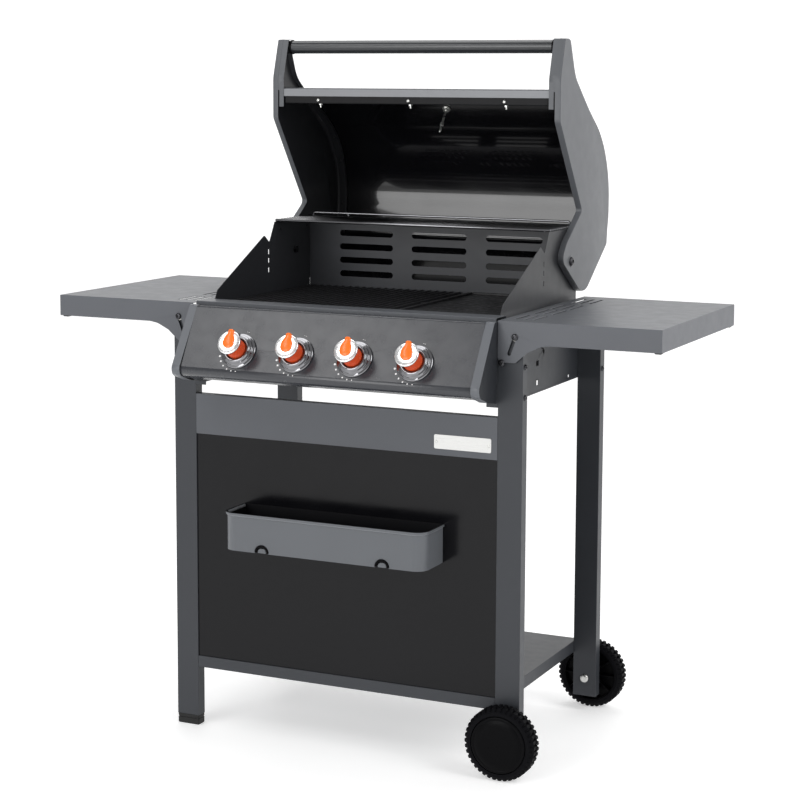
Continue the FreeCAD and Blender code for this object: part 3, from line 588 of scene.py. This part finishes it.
def make_wheels():
    """Blocky tyres on ribbed wheels, each with a smooth snap-in cap on its outer side."""
    for end, outward in (("front", -1), ("rear", 1)):
        low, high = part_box(f"{end}_wheel")
        width, radius = (high.y - low.y) / MM, (high.z - low.z) / 2 / MM
        inner = high.y if outward < 0 else low.y
        stand = facing(((low.x + high.x) / 2, inner, (low.z + high.z) / 2), (0, outward, 0))
        seat = radius - TYRE_HEIGHT
        body = f"{end}_wheel_unit"
        piece(f"{end}_tyre_tread", [placed(tread(radius, width, seat - 0.5), stand)], body,
              [TYRE], [f"{end}_wheel"], sharp=28)
        piece(f"{end}_wheel_rim", [placed(part, stand) for part in wheel_rim(seat, width)], body,
              [CAP_BLACK], bevel=0.4 * MM)
        piece(f"{end}_cap_dome", [placed(wheel_cap(width), stand)], body, [CAP_BLACK],
              [f"{end}_wheel_cap"], sharp=50)


# ---- fasteners ----

LEG_HEAD = 5.5
TABLE_HEAD = 6.4
CATCH_INWARD = 26
# The outer radius of spacers and washers.
RING_RADIUS = 9
HINGE_BOLT = 4
WALL_SHEET = 1


def domed_head(radius, height, socket=True):
    """A domed bolt head, with a round socket or plain, standing on z 0."""
    profile = [(0, 0), (radius, 0), (radius, height * 0.25), (radius * 0.93, height * 0.55),
               (radius * 0.75, height * 0.85), (radius * 0.5, height)]
    if socket:
        profile += [(radius * 0.42, height), (radius * 0.4, height * 0.35), (0, height * 0.35)]
    else:
        profile += [(0, height * 1.02)]
    return lathe(in_metres(profile), 32)


def hexagon(radius, height):
    """A hexagon nut or head, standing on z 0."""
    outline = [(radius * MM * math.cos(math.tau * side / 6), radius * MM * math.sin(math.tau * side / 6))
               for side in range(6)]
    return prism(outline, 0, height * MM, "z")


def make_leg_bolts():
    """Domed heads on the outer faces of the legs, where the frame is bolted together."""
    low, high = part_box("frame_bolts")
    inset = LEG_HEAD * MM
    leg_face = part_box("right_front_leg")[1].x
    heads = [placed(domed_head(LEG_HEAD, 3.2), facing((sign * leg_face, y, z), (sign, 0, 0)))
             for _, sign in SIDES
             for y in (low.y + inset, high.y - inset)
             for z in (low.z + inset, high.z - inset)]
    piece("leg_bolt_heads", heads, "root", [DARK_ZINC], ["frame_bolts"], sharp=50)


def make_table_bolts():
    """The tables' pivot and catch bolts, whose shanks cross from the legs to the brackets."""
    catch_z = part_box("table_bolts")[0].z + 6.5 * MM
    front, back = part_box("right_side_table")[0].y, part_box("right_side_table")[1].y
    legs_front, legs_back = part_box("right_front_leg")[0].y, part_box("right_rear_leg")[1].y
    bolts = []
    for side, sign in SIDES:
        fold = joint(f"{side}_table_fold")["pos_m"]
        for x, z in ((fold[0], fold[2]), (fold[0] - sign * CATCH_INWARD * MM, catch_z)):
            for face, leg, outward in ((front, legs_front, -1), (back, legs_back, 1)):
                shank = shaft(3 * MM, 0, abs(face - leg) + 0.5 * MM, 24)
                bolts.append(placed(shank, facing((x, leg, z), (0, outward, 0))))
                at_head = facing((x, face + outward * 0.4 * MM, z), (0, outward, 0))
                bolts.append(placed(domed_head(TABLE_HEAD, 3.3), at_head))
    piece("table_bolt_heads", bolts, "root", [DARK_ZINC], ["table_bolts"], sharp=50)


def make_axle_bolts():
    """The wheels' bolts through the right legs, each with a head, a spacer and a nut."""
    leg, rear_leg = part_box("right_front_leg"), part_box("right_rear_leg")
    low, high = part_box("wheel_bolts")
    x, z = (low.x + high.x) / 2, (low.z + high.z) / 2
    bolts = []
    for leg_inner, leg_outer, end, outward in ((leg[1].y, leg[0].y, low.y, -1),
                                               (rear_leg[0].y, rear_leg[1].y, high.y, 1)):
        length = abs(end - leg_inner)
        shank = lathe([(0, 0), (5 * MM, 0), (5 * MM, length - 0.6 * MM), (4.4 * MM, length), (0, length)])
        bolts.append(placed(shank, facing((x, leg_inner, z), (0, outward, 0))))
        spacer = shaft(RING_RADIUS * MM, 0, 5.5 * MM)
        bolts.append(placed(spacer, facing((x, leg_outer, z), (0, outward, 0))))
        bolts.append(placed(hexagon(8.5, 5.5), facing((x, end - outward * 6.5 * MM, z), (0, outward, 0))))
        bolts.append(placed(domed_head(9, 4, socket=False), facing((x, leg_inner, z), (0, -outward, 0))))
    piece("axle_bolts", bolts, "root", [ZINC], ["wheel_bolts"], sharp=50)


def make_hinge_bolts():
    """The lid's hinge bolts: a domed head outside, a spacer between and a nut in the firebox."""
    _, hinge_y, hinge_z = joint("lid_hinge")["pos_m"]
    lid_face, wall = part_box("lid_right_end")[1].x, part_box("firebox_right_wall")[1].x
    length = lid_face - wall + 8 * MM
    collar = ((HINGE_BOLT + 0.1, 0.3), (RING_RADIUS, 0.3), (RING_RADIUS, 11.2),
              (HINGE_BOLT + 0.1, 11.2))
    bolts = []
    for _, sign in SIDES:
        outer = (sign * (lid_face + 0.5 * MM), hinge_y, hinge_z)
        bolts.append(placed(domed_head(9.5, 4.4), facing(outer, (sign, 0, 0))))
        bolts.append(placed(shaft(HINGE_BOLT * MM, 0, length), facing(outer, (-sign, 0, 0))))
        spacer = tube_ring(in_metres(collar))
        bolts.append(placed(spacer, facing((sign * wall, hinge_y, hinge_z), (sign, 0, 0))))
        nut_face = (sign * (wall - WALL_SHEET * MM), hinge_y, hinge_z)
        bolts.append(placed(hexagon(8, 6), facing(nut_face, (-sign, 0, 0))))
    piece("hinge_bolt_set", bolts, "root", [DARK_ZINC], ["lid_hinge_bolts"], sharp=50)


# ---- knobs ----

GRIP_SIDES = 180
GRIP_RIDGES = 30
RIDGE_HEIGHT = 0.28
RIDGED_FROM, RIDGED_TO = 14.5, 41
# Height and radius of the grip.
GRIP_PROFILE = ((6, 16), (6, 18.6), (7, 19.2), (14, 19.2), (15, 18.4), (38, 17.6), (41.5, 18.2), (42, 16))
# Radius and height of the disc and the stepped bezel.
DISC_PROFILE = ((0, 41.5), (21, 41.5), (23.0, 42.2), (23.5, 43), (23.5, 45.2), (22.9, 46.0),
                (21.8, 46.4), (21.2, 46.1), (12, 46.6), (0, 46.8))
BEZEL_PROFILE = ((21.8, 0.1), (36, 0.1), (36.2, 1.5), (35.8, 4.0), (34.6, 5.2), (31.8, 5.6),
                 (31.2, 6.3), (31.0, 9.4), (30.2, 10.4), (27.6, 10.8), (27.0, 11.6), (26.6, 13.6),
                 (25.6, 14.6), (23, 14.9), (21.8, 14.2))
TEARDROP = ((-11.5, -12, 11), (11.5, -12, 11), (11, 7, 9), (5.4, 17, 6), (5.2, 26, 3.4),
            (-5.2, 26, 3.4), (-5.4, 17, 6), (-11, 7, 9))
POINTER_LAYERS = ((41, 0), (48.6, 0), (49.6, 0.35), (50.1, 1.2))
# Places on the scale, in degrees: dots that shrink one by one, and two short strokes.
DOT_TURNS = (197, 213, 229, 245, 260, 274)
DOT_CIRCLE = 41
STROKE_TURNS = (75, 80)
STROKE_CIRCLE = 42


def knob_grip():
    """The grip below the disc, with fine ridges round it."""
    rings = []
    for height, radius in GRIP_PROFILE:
        ridged = RIDGED_FROM < height < RIDGED_TO
        ring = []
        for side in range(GRIP_SIDES):
            angle = math.tau * side / GRIP_SIDES
            ripple = RIDGE_HEIGHT * math.cos(GRIP_RIDGES * angle) if ridged else 0
            reach = (radius + ripple) * MM
            ring.append((reach * math.cos(angle), reach * math.sin(angle), height * MM))
        rings.append(ring)
    return loft(rings)


def on_scale(stand, degrees, circle):
    """The placement of a mark on a circle round a knob."""
    angle = math.radians(degrees)
    away = circle * MM
    return stand @ Matrix.Translation((away * math.cos(angle), away * math.sin(angle), 0))


def scale_marks(stand):
    """One knob's printed scale."""
    marks = []
    for step, degrees in enumerate(DOT_TURNS):
        size = (2.1 - 0.2 * step) * MM
        spot = lathe([(0, -0.1 * MM), (size, -0.1 * MM), (size, 0.12 * MM), (0, 0.15 * MM)], 20)
        marks.append(placed(spot, on_scale(stand, degrees, DOT_CIRCLE)))
    stroke = block((-1.1 * MM, -0.35 * MM, -0.1 * MM), (1.1 * MM, 0.35 * MM, 0.12 * MM))
    for degrees in STROKE_TURNS:
        marks.append(placed(stroke, on_scale(stand, degrees, STROKE_CIRCLE)))
    return marks


def make_knobs():
    """Chrome stepped bezels, orange knobs with a bright disc and a raised pointer, and the scale."""
    bezels, marks = [], []
    for number in KNOB_NUMBERS:
        turn = joint(f"knob_{number}_turn")
        stand = facing(turn["pos_m"], turn["axis"])
        body = f"dial_{number}"
        piece(f"knob_grip_{number}", [placed(knob_grip(), stand)], body, [ORANGE_DARK],
              [f"knob_{number}"], sharp=40)
        disc = lathe(in_metres(DISC_PROFILE), 96)
        piece(f"knob_disc_{number}", [placed(disc, stand)], body, [DISC_STEEL], sharp=40)
        pointer = layered(rounded(in_metres(TEARDROP)), POINTER_LAYERS)
        piece(f"knob_pointer_{number}", [placed(pointer, stand)], body, [ORANGE],
              sharp=50)
        bezels.append(placed(tube_ring(in_metres(BEZEL_PROFILE), 96), stand))
        marks += scale_marks(stand)
    piece("bezel_rings", bezels, "root", [CHROME], ["knob_bezels"], sharp=50)
    piece("scale_dots", marks, "root", [PRINT_WHITE])


# ---- lid ----

# The shell's path, from the front lip over the curve to its low back edge, as (y, z, radius).
LID_PATH = ((68.5, 1262), (68.5, 1278.5, 3), (182, 1278.5, 50), (369.5, 1148.5, 194),
            (366.5, 1012, 119), (353.5, 956.5, 13.5), (228, 871.8))
LID_END = ((90, 1379, 4), (118, 1379, 12), (150, 1301, 70), (370, 1149, 195), (367, 1012, 120),
           (354, 956, 14), (211.5, 859, 55), (85, 942, 17), (112, 976, 60), (197, 1035, 9),
           (66.5, 1216, 18), (66.5, 1300, 60))
LID_ROUND = 12
EDGE_ROUND = 1.2
LID_SHEET = 1
# The slits in the lip let the side walls' front corners through as the lid closes.
SLIT_TOP = 1274
SLIT_INNER = 1.8
SLIT_RAMP = 0.3
# The middle of the lid's hollow, seen along X.
LID_HEART = Vector((0.2, 1.1))
SCREW_SHARES = (0.1, 0.26, 0.42, 0.6, 0.78, 0.94)
BOSS_OVAL = ((-8, -13, 7.9), (8, -13, 7.9), (8, 13, 7.9), (-8, 13, 7.9))
BOSS_LAYERS = ((-0.2, 0), (0.3, 0), (0.45, 0.3))


def corner_round(point):
    """How far the end plate's corner is rolled over at a point, in millimetres.

    It is slight along the opening, nothing along the flat top, and full along the shell's curve, and
    it fades out at the low back corner.
    """
    y, z = point.x / MM, point.y / MM
    behind = y > 150 + (1300 - z) * 0.42 if z > 1035 else y > 330
    if not behind:
        return EDGE_ROUND
    if y <= 250:
        return 0
    return LID_ROUND * min(max((z - 940) / 40, 0), 1)


def end_pressing(sign, outer_face):
    """The skin of an end plate, from its rolled edge to its flat outer face, one sheet thick."""
    outline = rounded(in_metres(LID_END), turn_step=math.radians(3))
    turned = sum(a.x * b.y - a.y * b.x for a, b in zip(outline, outline[1:] + outline[:1]))
    inward = 1 if turned > 0 else -1
    rounds = [corner_round(point) * MM for point in outline]
    steps = 8

    def rings(sheet):
        made = []
        for step in range(steps + 1):
            angle = math.pi / 2 * step / steps
            insets = [inward * (depth * (1 - math.cos(angle)) + sheet) for depth in rounds]
            x = outer_face - LID_ROUND * MM * (1 - math.sin(angle)) - (sheet if step == steps else 0)
            made.append([(sign * x, u, v) for u, v in offset(outline, insets)])
        return made

    return loft(rings(LID_SHEET * MM)[::-1] + rings(0.0))


def seam_strip(sign, outer_face):
    """The angled strip inside the seam between the shell and an end plate, and its inner line."""
    line = rounded(in_metres(LID_PATH[1:]), closed=False, turn_step=math.radians(4))
    inner = offset(line, -2.2 * MM, closed=False)[6:-2]
    under = offset(inner, -1 * MM, closed=False)
    flange = offset(inner, -7 * MM, closed=False)
    width = sorted((sign * (outer_face - 2 * MM), sign * (outer_face - 24 * MM)))
    edge = sorted((sign * (outer_face - 23 * MM), sign * (outer_face - 24 * MM)))
    return [prism(inner + under[::-1], *width, "x"), prism(inner + flange[::-1], *edge, "x")], under


def make_lid_end(side, sign):
    """A pressed end plate, its seam strip with screws, and an oval boss round the hinge bolt."""
    outer_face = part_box("lid_right_end")[1].x

    def inside(face):
        return 1 if face.normal.x * sign < -0.4 else 0

    piece(f"lid_{side}_pressing", [end_pressing(sign, outer_face)], "lid",
          [LID_GREY, FIREBOX_BLACK], [f"lid_{side}_end"], sharp=40, pick=inside)

    strips, under = seam_strip(sign, outer_face)
    piece(f"lid_{side}_seam_strip", strips, "lid", [FIREBOX_BLACK], bevel=0.3 * MM)
    heads = []
    for share in SCREW_SHARES:
        number = int(share * (len(under) - 1))
        here, after = under[number], under[min(number + 1, len(under) - 1)]
        along = (after - here).normalized()
        inward = Vector((along.y, -along.x))
        if inward.dot(LID_HEART - here) < 0:
            inward = -inward
        spot = (sign * (outer_face - 13 * MM), here.x, here.y)
        heads.append(placed(domed_head(3.2, 1.8), facing(spot, (0, inward.x, inward.y))))
    piece(f"lid_{side}_seam_screws", heads, "lid", [DARK_ZINC], sharp=50)

    _, hinge_y, hinge_z = joint("lid_hinge")["pos_m"]
    plate = layered(rounded(in_metres(BOSS_OVAL)), BOSS_LAYERS)
    lean = facing((sign * outer_face, hinge_y, hinge_z), (sign, 0, 0), roll=0.5)
    piece(f"lid_{side}_hinge_boss", [placed(plate, lean)], "lid", [LID_GREY], sharp=50)


def make_lid_shell():
    """The rolled shell: painted outside, enamelled inside, with two slits in its lip, whose front faces are
    lighter as a painted sheen.
    """
    line = rounded(in_metres(LID_PATH), closed=False, turn_step=math.radians(2))
    under = offset(line, -LID_SHEET * MM, closed=False)
    section = line + under[::-1]
    slit_z = SLIT_TOP * MM
    raised = [Vector((section[0].x, slit_z)), *section[1:-1], Vector((section[-1].x, slit_z))]
    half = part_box("lid_right_end")[1].x - LID_ROUND * MM
    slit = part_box("firebox_right_wall")[1].x - SLIT_INNER * MM
    rings = [(-half, raised), (-slit, raised)]
    rings += [((slit - SLIT_RAMP * MM) * step / 12, section) for step in range(-12, 13)]
    rings += [(slit, raised), (half, raised)]
    shell = loft([[(x, u, v) for u, v in outline] for x, outline in rings])
    lip_y = line[0].x + 0.5 * MM

    def layer(face):
        # The lip's front faces take the lighter grey: a painted sheen.
        if face.normal.y < -0.9 and face.center.y < lip_y:
            return 2
        to_heart = LID_HEART - Vector((face.center.y, face.center.z))
        turned_in = face.normal.y * to_heart.x + face.normal.z * to_heart.y > 0
        return 1 if turned_in and abs(face.normal.x) < 0.5 else 0

    piece("lid_rolled_shell", [shell], "lid", [LID_GREY, LID_BLACK, LIP_PAINTED_SHEEN], ["lid_shell"],
          sharp=30, pick=layer)


def make_front_bar_screws():
    """Screws through the stiffening bar under the lip, with their ends and nuts below."""
    low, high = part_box("lid_front_bar")
    screws = []
    for x in (-0.215, -0.01, 0.2):
        screws.append(placed(domed_head(3.4, 2.4), facing((x, low.y - 0.2 * MM, high.z - 8 * MM),
                                                          (0, -1, 0))))
        screws.append(placed(shaft(2 * MM, 0, 9 * MM, 20),
                             facing((x, low.y + 12 * MM, low.z + 1 * MM), (0, 0, -1))))
        screws.append(placed(hexagon(4, 3), facing((x, low.y + 12 * MM, low.z), (0, 0, -1))))
    piece("front_bar_screws", screws, "lid", [ZINC], sharp=50)


def make_handle():
    """The handle's tube between its brackets, with a stepped collar at each end."""
    low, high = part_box("handle_bar")
    radius = (high.z - low.z) / 2
    axis_y, axis_z = (low.y + high.y) / 2, (low.z + high.z) / 2
    bar = shaft(radius, 0, high.x - low.x, 72)
    piece("handle_tube", [placed(bar, facing((low.x, axis_y, axis_z), (1, 0, 0)))], "lid",
          [HANDLE_DARK], ["handle_bar"], sharp=50)
    collar = lathe([(0, 0), (radius + 0.6 * MM, 0), (radius + 1.2 * MM, 1 * MM),
                    (radius + 1.2 * MM, 4 * MM), (radius + 0.4 * MM, 5 * MM), (0, 5 * MM)], 72)
    inner_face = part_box("handle_brackets")[1].x - 24 * MM
    collars = [placed(collar, facing((sign * inner_face, axis_y, axis_z), (-sign, 0, 0)))
               for _, sign in SIDES]
    piece("handle_collars", collars, "lid", [CAP_BLACK], sharp=50)


DIAL_FROM_BEND = 70
DIAL_MARKS = 31
MARK_TURN = 9
FIRST_MARK = 225
NEEDLE_TURN = 128


def make_thermometer():
    """A dial with a scale and needle on the outside, and the probe with its nut inside."""
    bend, shoulder = Vector(LID_PATH[2][:2]) * MM, Vector(LID_PATH[3][:2]) * MM
    along = (shoulder - bend).normalized()
    foot = bend + along * DIAL_FROM_BEND * MM
    stand = facing((0, foot.x, foot.y), (0, -along.y, along.x), math.pi)
    case = lathe(in_metres([(0, 0.2), (28, 0.2), (29, 1), (29, 8), (28.2, 9.6), (26.8, 10.2), (26, 9.6),
                            (25.8, 7), (0, 7)]), 96)
    piece("dial_case", [placed(case, stand)], "lid", [CHROME], ["lid_thermometer"], sharp=40)
    face = shaft(25.7 * MM, 6.9 * MM, 7.3 * MM, 72)
    piece("dial_face", [placed(face, stand)], "lid", [PRINT_WHITE])
    marks = []
    for step in range(DIAL_MARKS):
        inner = 17.5 if step % 5 == 0 else 20
        mark = block((inner * MM, -0.3 * MM, 7.2 * MM), (22.5 * MM, 0.3 * MM, 7.4 * MM))
        turn = Matrix.Rotation(math.radians(FIRST_MARK - MARK_TURN * step), 4, "Z")
        marks.append(placed(mark, stand @ turn))
    piece("dial_marks", marks, "lid", [PRINT_AND_PORT_SHADE_BLACK])
    needle = prism(in_metres([(-1.2, -5), (1.2, -5), (0.3, 18), (-0.3, 18)]), 7.9 * MM, 8.3 * MM, "z")
    pin = lathe(in_metres([(0, 7.2), (2, 7.2), (2, 8.8), (0, 9)]), 24)
    lean = stand @ Matrix.Rotation(math.radians(NEEDLE_TURN), 4, "Z")
    piece("dial_needle", [placed(needle, lean), placed(pin, stand)], "lid", [ORANGE])
    probe = lathe(in_metres([(0, -62), (1.4, -61.5), (2.4, -60), (2.4, 1), (0, 1)]), 24)
    washer = shaft(RING_RADIUS * MM, -3.2 * MM, -2 * MM)
    nut = placed(hexagon(7, 5), Matrix.Translation((0, 0, -8.4 * MM)))
    stop = placed(hexagon(4.5, 7), Matrix.Translation((0, 0, -45 * MM)))
    piece("dial_probe", [placed(part, stand) for part in (probe, washer, nut, stop)], "lid",
          [ZINC], sharp=50)


# ---- cooking well ----

GRATE_PITCH = 17
GRATE_FIRST = 14.5
GRATE_BAR = 8.4
GRATE_FRAME = 7


def cast_bar(x, low_y, high_y, width, low_z, high_z):
    """A tapered cast bar that runs front to back, with a rounded top."""
    half, top = width / 2, width * 0.31
    section = [(x - half, low_z), (x + half, low_z), (x + top, high_z, top * 0.9),
               (x - top, high_z, top * 0.9)]
    return prism(rounded(section, turn_step=math.radians(15)), low_y, high_y, "y")


def make_grate():
    """Ribbed cast grate: tapered bars in a frame, tied by a lower cross bar."""
    low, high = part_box("cooking_grate")
    pitch, first = GRATE_PITCH * MM, low.x + GRATE_FIRST * MM
    count = int((high.x - 12 * MM - first) / pitch) + 1
    parts = [cast_bar(first + number * pitch, low.y + 4 * MM, high.y - 4 * MM, GRATE_BAR * MM,
                      low.z + 1 * MM, high.z) for number in range(count)]
    frame_width = GRATE_FRAME * MM
    for x in (low.x + frame_width / 2, high.x - frame_width / 2):
        parts.append(cast_bar(x, low.y, high.y, frame_width, low.z, high.z - 1 * MM))
    for y, depth in ((low.y, 7), (high.y - 7 * MM, 7), ((low.y + high.y) / 2 - 6 * MM, 12)):
        parts.append(block((low.x, y, low.z), (high.x, y + depth * MM, high.z - 3.2 * MM)))
    piece("grate_casting", parts, "grate", [CAST_BLACK], ["cooking_grate"], bevel=0.5 * MM)


def make_griddle_lugs():
    """Two finger lugs cast on the griddle's rim, one at the front and one at the back."""
    low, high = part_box("griddle")
    outline = rounded(in_metres([(-22, -2.4, 2), (22, -2.4, 2), (22, 2.4, 2), (-22, 2.4, 2)]))
    lug = layered(outline, ((0, 0), (1.2, 0.2), (1.8, 0.8)))
    lugs = [placed(lug, Matrix.Translation(((low.x + high.x) / 2, y, high.z - 0.3 * MM)))
            for y in (low.y + 3 * MM, high.y - 3 * MM)]
    piece("griddle_lugs", lugs, "griddle_plate", [CAST_BLACK])


RACK_WIRE = 3
RACK_WIRES = 13
RACK_PITCH = 12
RACK_BRACES = (-0.296, -0.1, 0.1, 0.296)
GUARD_POSTS = 7


def make_rack():
    """Wire warming rack with a raised guard rail along its back."""
    low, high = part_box("warming_rack")
    wire_radius = RACK_WIRE * MM
    height = low.z + wire_radius
    parts = []
    for number in range(RACK_WIRES):
        y = low.y + wire_radius + RACK_PITCH * MM * number
        thin = 0.75 if 0 < number < RACK_WIRES - 1 else 1.0
        parts.append(rod_between((low.x, y, height), (high.x, y, height), wire_radius * thin))
    for x in RACK_BRACES:
        parts.append(rod_between((x, low.y + 1 * MM, height - 1 * MM),
                                 (x, high.y - 1 * MM, height - 1 * MM), wire_radius * 0.9))
    guard = height + 8 * MM
    back = high.y - wire_radius
    reach = high.x - 14 * MM
    line = rounded([(-reach, height), (-reach, guard, 5 * MM), (reach, guard, 5 * MM), (reach, height)],
                   closed=False)
    parts.append(pipe([(u, back, v) for u, v in line], wire_radius * 0.8, up=(0, 1, 0)))
    for number in range(1, GUARD_POSTS):
        x = -reach + 2 * reach * number / GUARD_POSTS
        parts.append(rod_between((x, back, height), (x, back, guard), wire_radius * 0.7))
    piece("rack_wires", parts, "rack", [DARK_CHROME], ["warming_rack"], sharp=50)


PORT_COUNT = 30
PORT_PITCH = 12
PORT_LEAN = math.radians(28)


def make_burner_ports():
    """Rows of flame ports along both sides of each burner tube, as thin dark slots: painted shade where the
    port holes are.
    """
    low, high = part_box("burners")
    radius = (high.z - low.z) / 2
    port_z = middle("burners").z + radius * math.sin(PORT_LEAN)
    port = block((-0.4 * MM, -3 * MM, 0), (0.4 * MM, 3 * MM, 0.1 * MM))
    ports = []
    for number in KNOB_NUMBERS:
        x = joint(f"knob_{number}_turn")["pos_m"][0]
        for _, sign in SIDES:
            for step in range(PORT_COUNT):
                y = low.y + 40 * MM + PORT_PITCH * MM * step
                spot = (x + sign * radius * math.cos(PORT_LEAN), y, port_z)
                outward = (sign * math.cos(PORT_LEAN), 0, math.sin(PORT_LEAN))
                ports.append(placed(port, facing(spot, outward)))
    # The ports' black is painted shade.
    piece("burner_ports", ports, "root", [PRINT_AND_PORT_SHADE_BLACK])


# ---- front trim ----

RIM_RADIUS = 3.2
BASKET_CORNER = 24
CUT_CENTRES = (-128, 128)
CUT_RADIUS = 13
CUT_TAB = ((-8.5, -1), (8.5, -1), (8.5, 8, 6.5), (-8.5, 8, 6.5))


def make_basket_trim():
    """The basket's rolled rim, and a raised ring and a tab at each tool cut."""
    low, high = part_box("front_basket")
    roll_radius = RIM_RADIUS * MM
    half, front = high.x - roll_radius, low.y + roll_radius
    back = high.y - 9.5 * MM
    corner = BASKET_CORNER * MM
    line = rounded([(-half, back), (-half, front, corner), (half, front, corner), (half, back)],
                   closed=False)
    height = high.z - roll_radius
    rim = pipe([(u, v, height) for u, v in line], roll_radius, sides=20)
    # The rim's lighter grey is a painted highlight.
    piece("basket_rolled_rim", [rim], "basket", [BASKET_RIM_PAINTED_HIGHLIGHT], sharp=60)

    rings, tabs = [], []
    wall = low.y + 3 * MM
    base = low.z + 1.5 * MM
    steps = 24
    for x in (centre * MM for centre in CUT_CENTRES):
        arc = [(x + CUT_RADIUS * MM * math.cos(math.pi * step / steps), wall - 0.3 * MM,
                base + CUT_RADIUS * MM * math.sin(math.pi * step / steps)) for step in range(steps + 1)]
        rings.append(pipe(arc, 2.4 * MM, up=(0, 1, 0), sides=12))
        outline = [(x + u, base + v) for u, v in rounded(in_metres(CUT_TAB))]
        tabs.append(prism(outline, wall + 0.5 * MM, wall + 1.7 * MM, "y"))
    piece("basket_cut_rings", rings, "basket", [CAP_BLACK], bevel=0.3 * MM)
    piece("basket_cut_tabs", tabs, "basket", [BASKET_GREY], bevel=0.3 * MM)


def make_badge_rivets():
    """A rivet at each end of the blank badge plate."""
    low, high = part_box("blank_badge_plate")
    rivets = []
    for x in (low.x + 5 * MM, high.x - 5 * MM):
        spot = (x, low.y + 0.1 * MM, (low.z + high.z) / 2)
        rivets.append(placed(domed_head(2.2, 1, socket=False), facing(spot, (0, -1, 0))))
    piece("badge_rivets", rivets, "root", [ZINC], sharp=50)


WALL_SCREWS = ((0.07, 0.985), (0.19, 0.985), (0.19, 0.75), (-0.17, 0.75))


def make_wall_screws():
    """Small screws on the inner faces of the firebox walls."""
    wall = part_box("firebox_right_wall")[1].x - WALL_SHEET * MM
    screws = [placed(domed_head(3.4, 1.6), facing((sign * wall, y, z), (-sign, 0, 0)))
              for _, sign in SIDES for y, z in WALL_SCREWS]
    piece("wall_screws", screws, "root", [DARK_ZINC], sharp=50)


# ---- studio ----

FLOOR_REACH = 40
SCREEN_Y = 9
SCREEN_TOP = 14
# Each lamp has its place, what it points at, its width and height in metres, and its power in watts.
LAMPS = (
    ("key", (3.0, -0.6, 2.4), (0.1, 0, 0.9), 1.6, 2.2, 50),
    ("high", (-1.9, -2.6, 3.5), (0, -0.33, 0.78), 1.3, 1.1, 19),
    ("front", (-1.3, -4.6, 1.85), (-0.9, 0, 1.85), 2.6, 2.5, 90),
    ("top", (-0.6, 0.6, 3.4), (0, 0, 0.8), 2.2, 1.6, 30),
)
CAMERA_PLACE = (1.7139, -3.616, 1.3003)
CAMERA_AZIMUTH, CAMERA_TILT, CAMERA_ROLL = 24.914, 83.099, 0.253
CAMERA_LENS = 89.98
# The upward shift is small, because views from other sides keep it and the lid has to stay in them.
CAMERA_SHIFT = (-0.0157, -0.10)


def staged(name, corners, material, strength):
    """A flat stage of one glowing face, which isn't part of the object."""
    shader = shader_of(material)
    shader.inputs["Emission Color"].default_value = (1, 1, 1, 1)
    shader.inputs["Emission Strength"].default_value = strength
    mesh = bpy.data.meshes.new(name)
    mesh.from_pydata(corners, [], [(0, 1, 2, 3)])
    mesh.materials.append(material)
    item = bpy.data.objects.new(name, mesh)
    bpy.context.scene.collection.objects.link(item)


def make_stage():
    """A pale floor with a white screen behind it, in a white room."""
    size = FLOOR_REACH
    pale = new_material("pale_floor", (0.86, 0.86, 0.86), 0.6)
    vary_roughness(pale, noise(pale, scale=3), 0.55, 0.65)
    staged("floor", [(-size, -size, 0), (size, -size, 0), (size, size, 0), (-size, size, 0)], pale, 0.42)
    white = new_material("white_screen", (0.3, 0.3, 0.3), 0.9)
    staged("backdrop", [(-size, SCREEN_Y, -1), (size, SCREEN_Y, -1), (size, SCREEN_Y, SCREEN_TOP),
                        (-size, SCREEN_Y, SCREEN_TOP)], white, 0.95)
    world = bpy.data.worlds.new("studio")
    bpy.context.scene.world = world
    world.use_nodes = True
    sky = world.node_tree.nodes["Background"]
    sky.inputs["Color"].default_value = (1, 1, 1, 1)
    sky.inputs["Strength"].default_value = 0.4
    bpy.context.scene.view_settings.view_transform = "Standard"


def make_lamps():
    for name, place, target, width, height, power in LAMPS:
        light = bpy.data.lights.new(name, "AREA")
        light.shape = "RECTANGLE"
        light.size, light.size_y = width, height
        light.energy = power
        lamp = bpy.data.objects.new(name, light)
        lamp.location = place
        lamp.rotation_euler = (Vector(target) - Vector(place)).to_track_quat("-Z", "Y").to_euler()
        bpy.context.scene.collection.objects.link(lamp)


def make_camera():
    """A camera to the front right of the grill, a little above its tables."""
    camera = bpy.data.objects.new("camera", bpy.data.cameras.new("camera"))
    camera.location = CAMERA_PLACE
    turn = (Matrix.Rotation(math.radians(CAMERA_AZIMUTH), 3, "Z")
            @ Matrix.Rotation(math.radians(CAMERA_TILT), 3, "X")
            @ Matrix.Rotation(math.radians(CAMERA_ROLL), 3, "Z"))
    camera.rotation_euler = turn.to_euler()
    camera.data.lens = CAMERA_LENS
    camera.data.shift_x, camera.data.shift_y = CAMERA_SHIFT
    bpy.context.scene.collection.objects.link(camera)
    bpy.context.scene.camera = camera


finish_frame_nodes()
make_feet()
make_wheels()
make_leg_bolts()
make_table_bolts()
make_axle_bolts()
make_hinge_bolts()
make_knobs()
make_lid_shell()
for lid_side, lid_sign in SIDES:
    make_lid_end(lid_side, lid_sign)
make_front_bar_screws()
make_handle()
make_thermometer()
make_grate()
make_griddle_lugs()
make_rack()
make_burner_ports()
make_basket_trim()
make_badge_rivets()
make_wall_screws()
make_stage()
make_lamps()
make_camera()
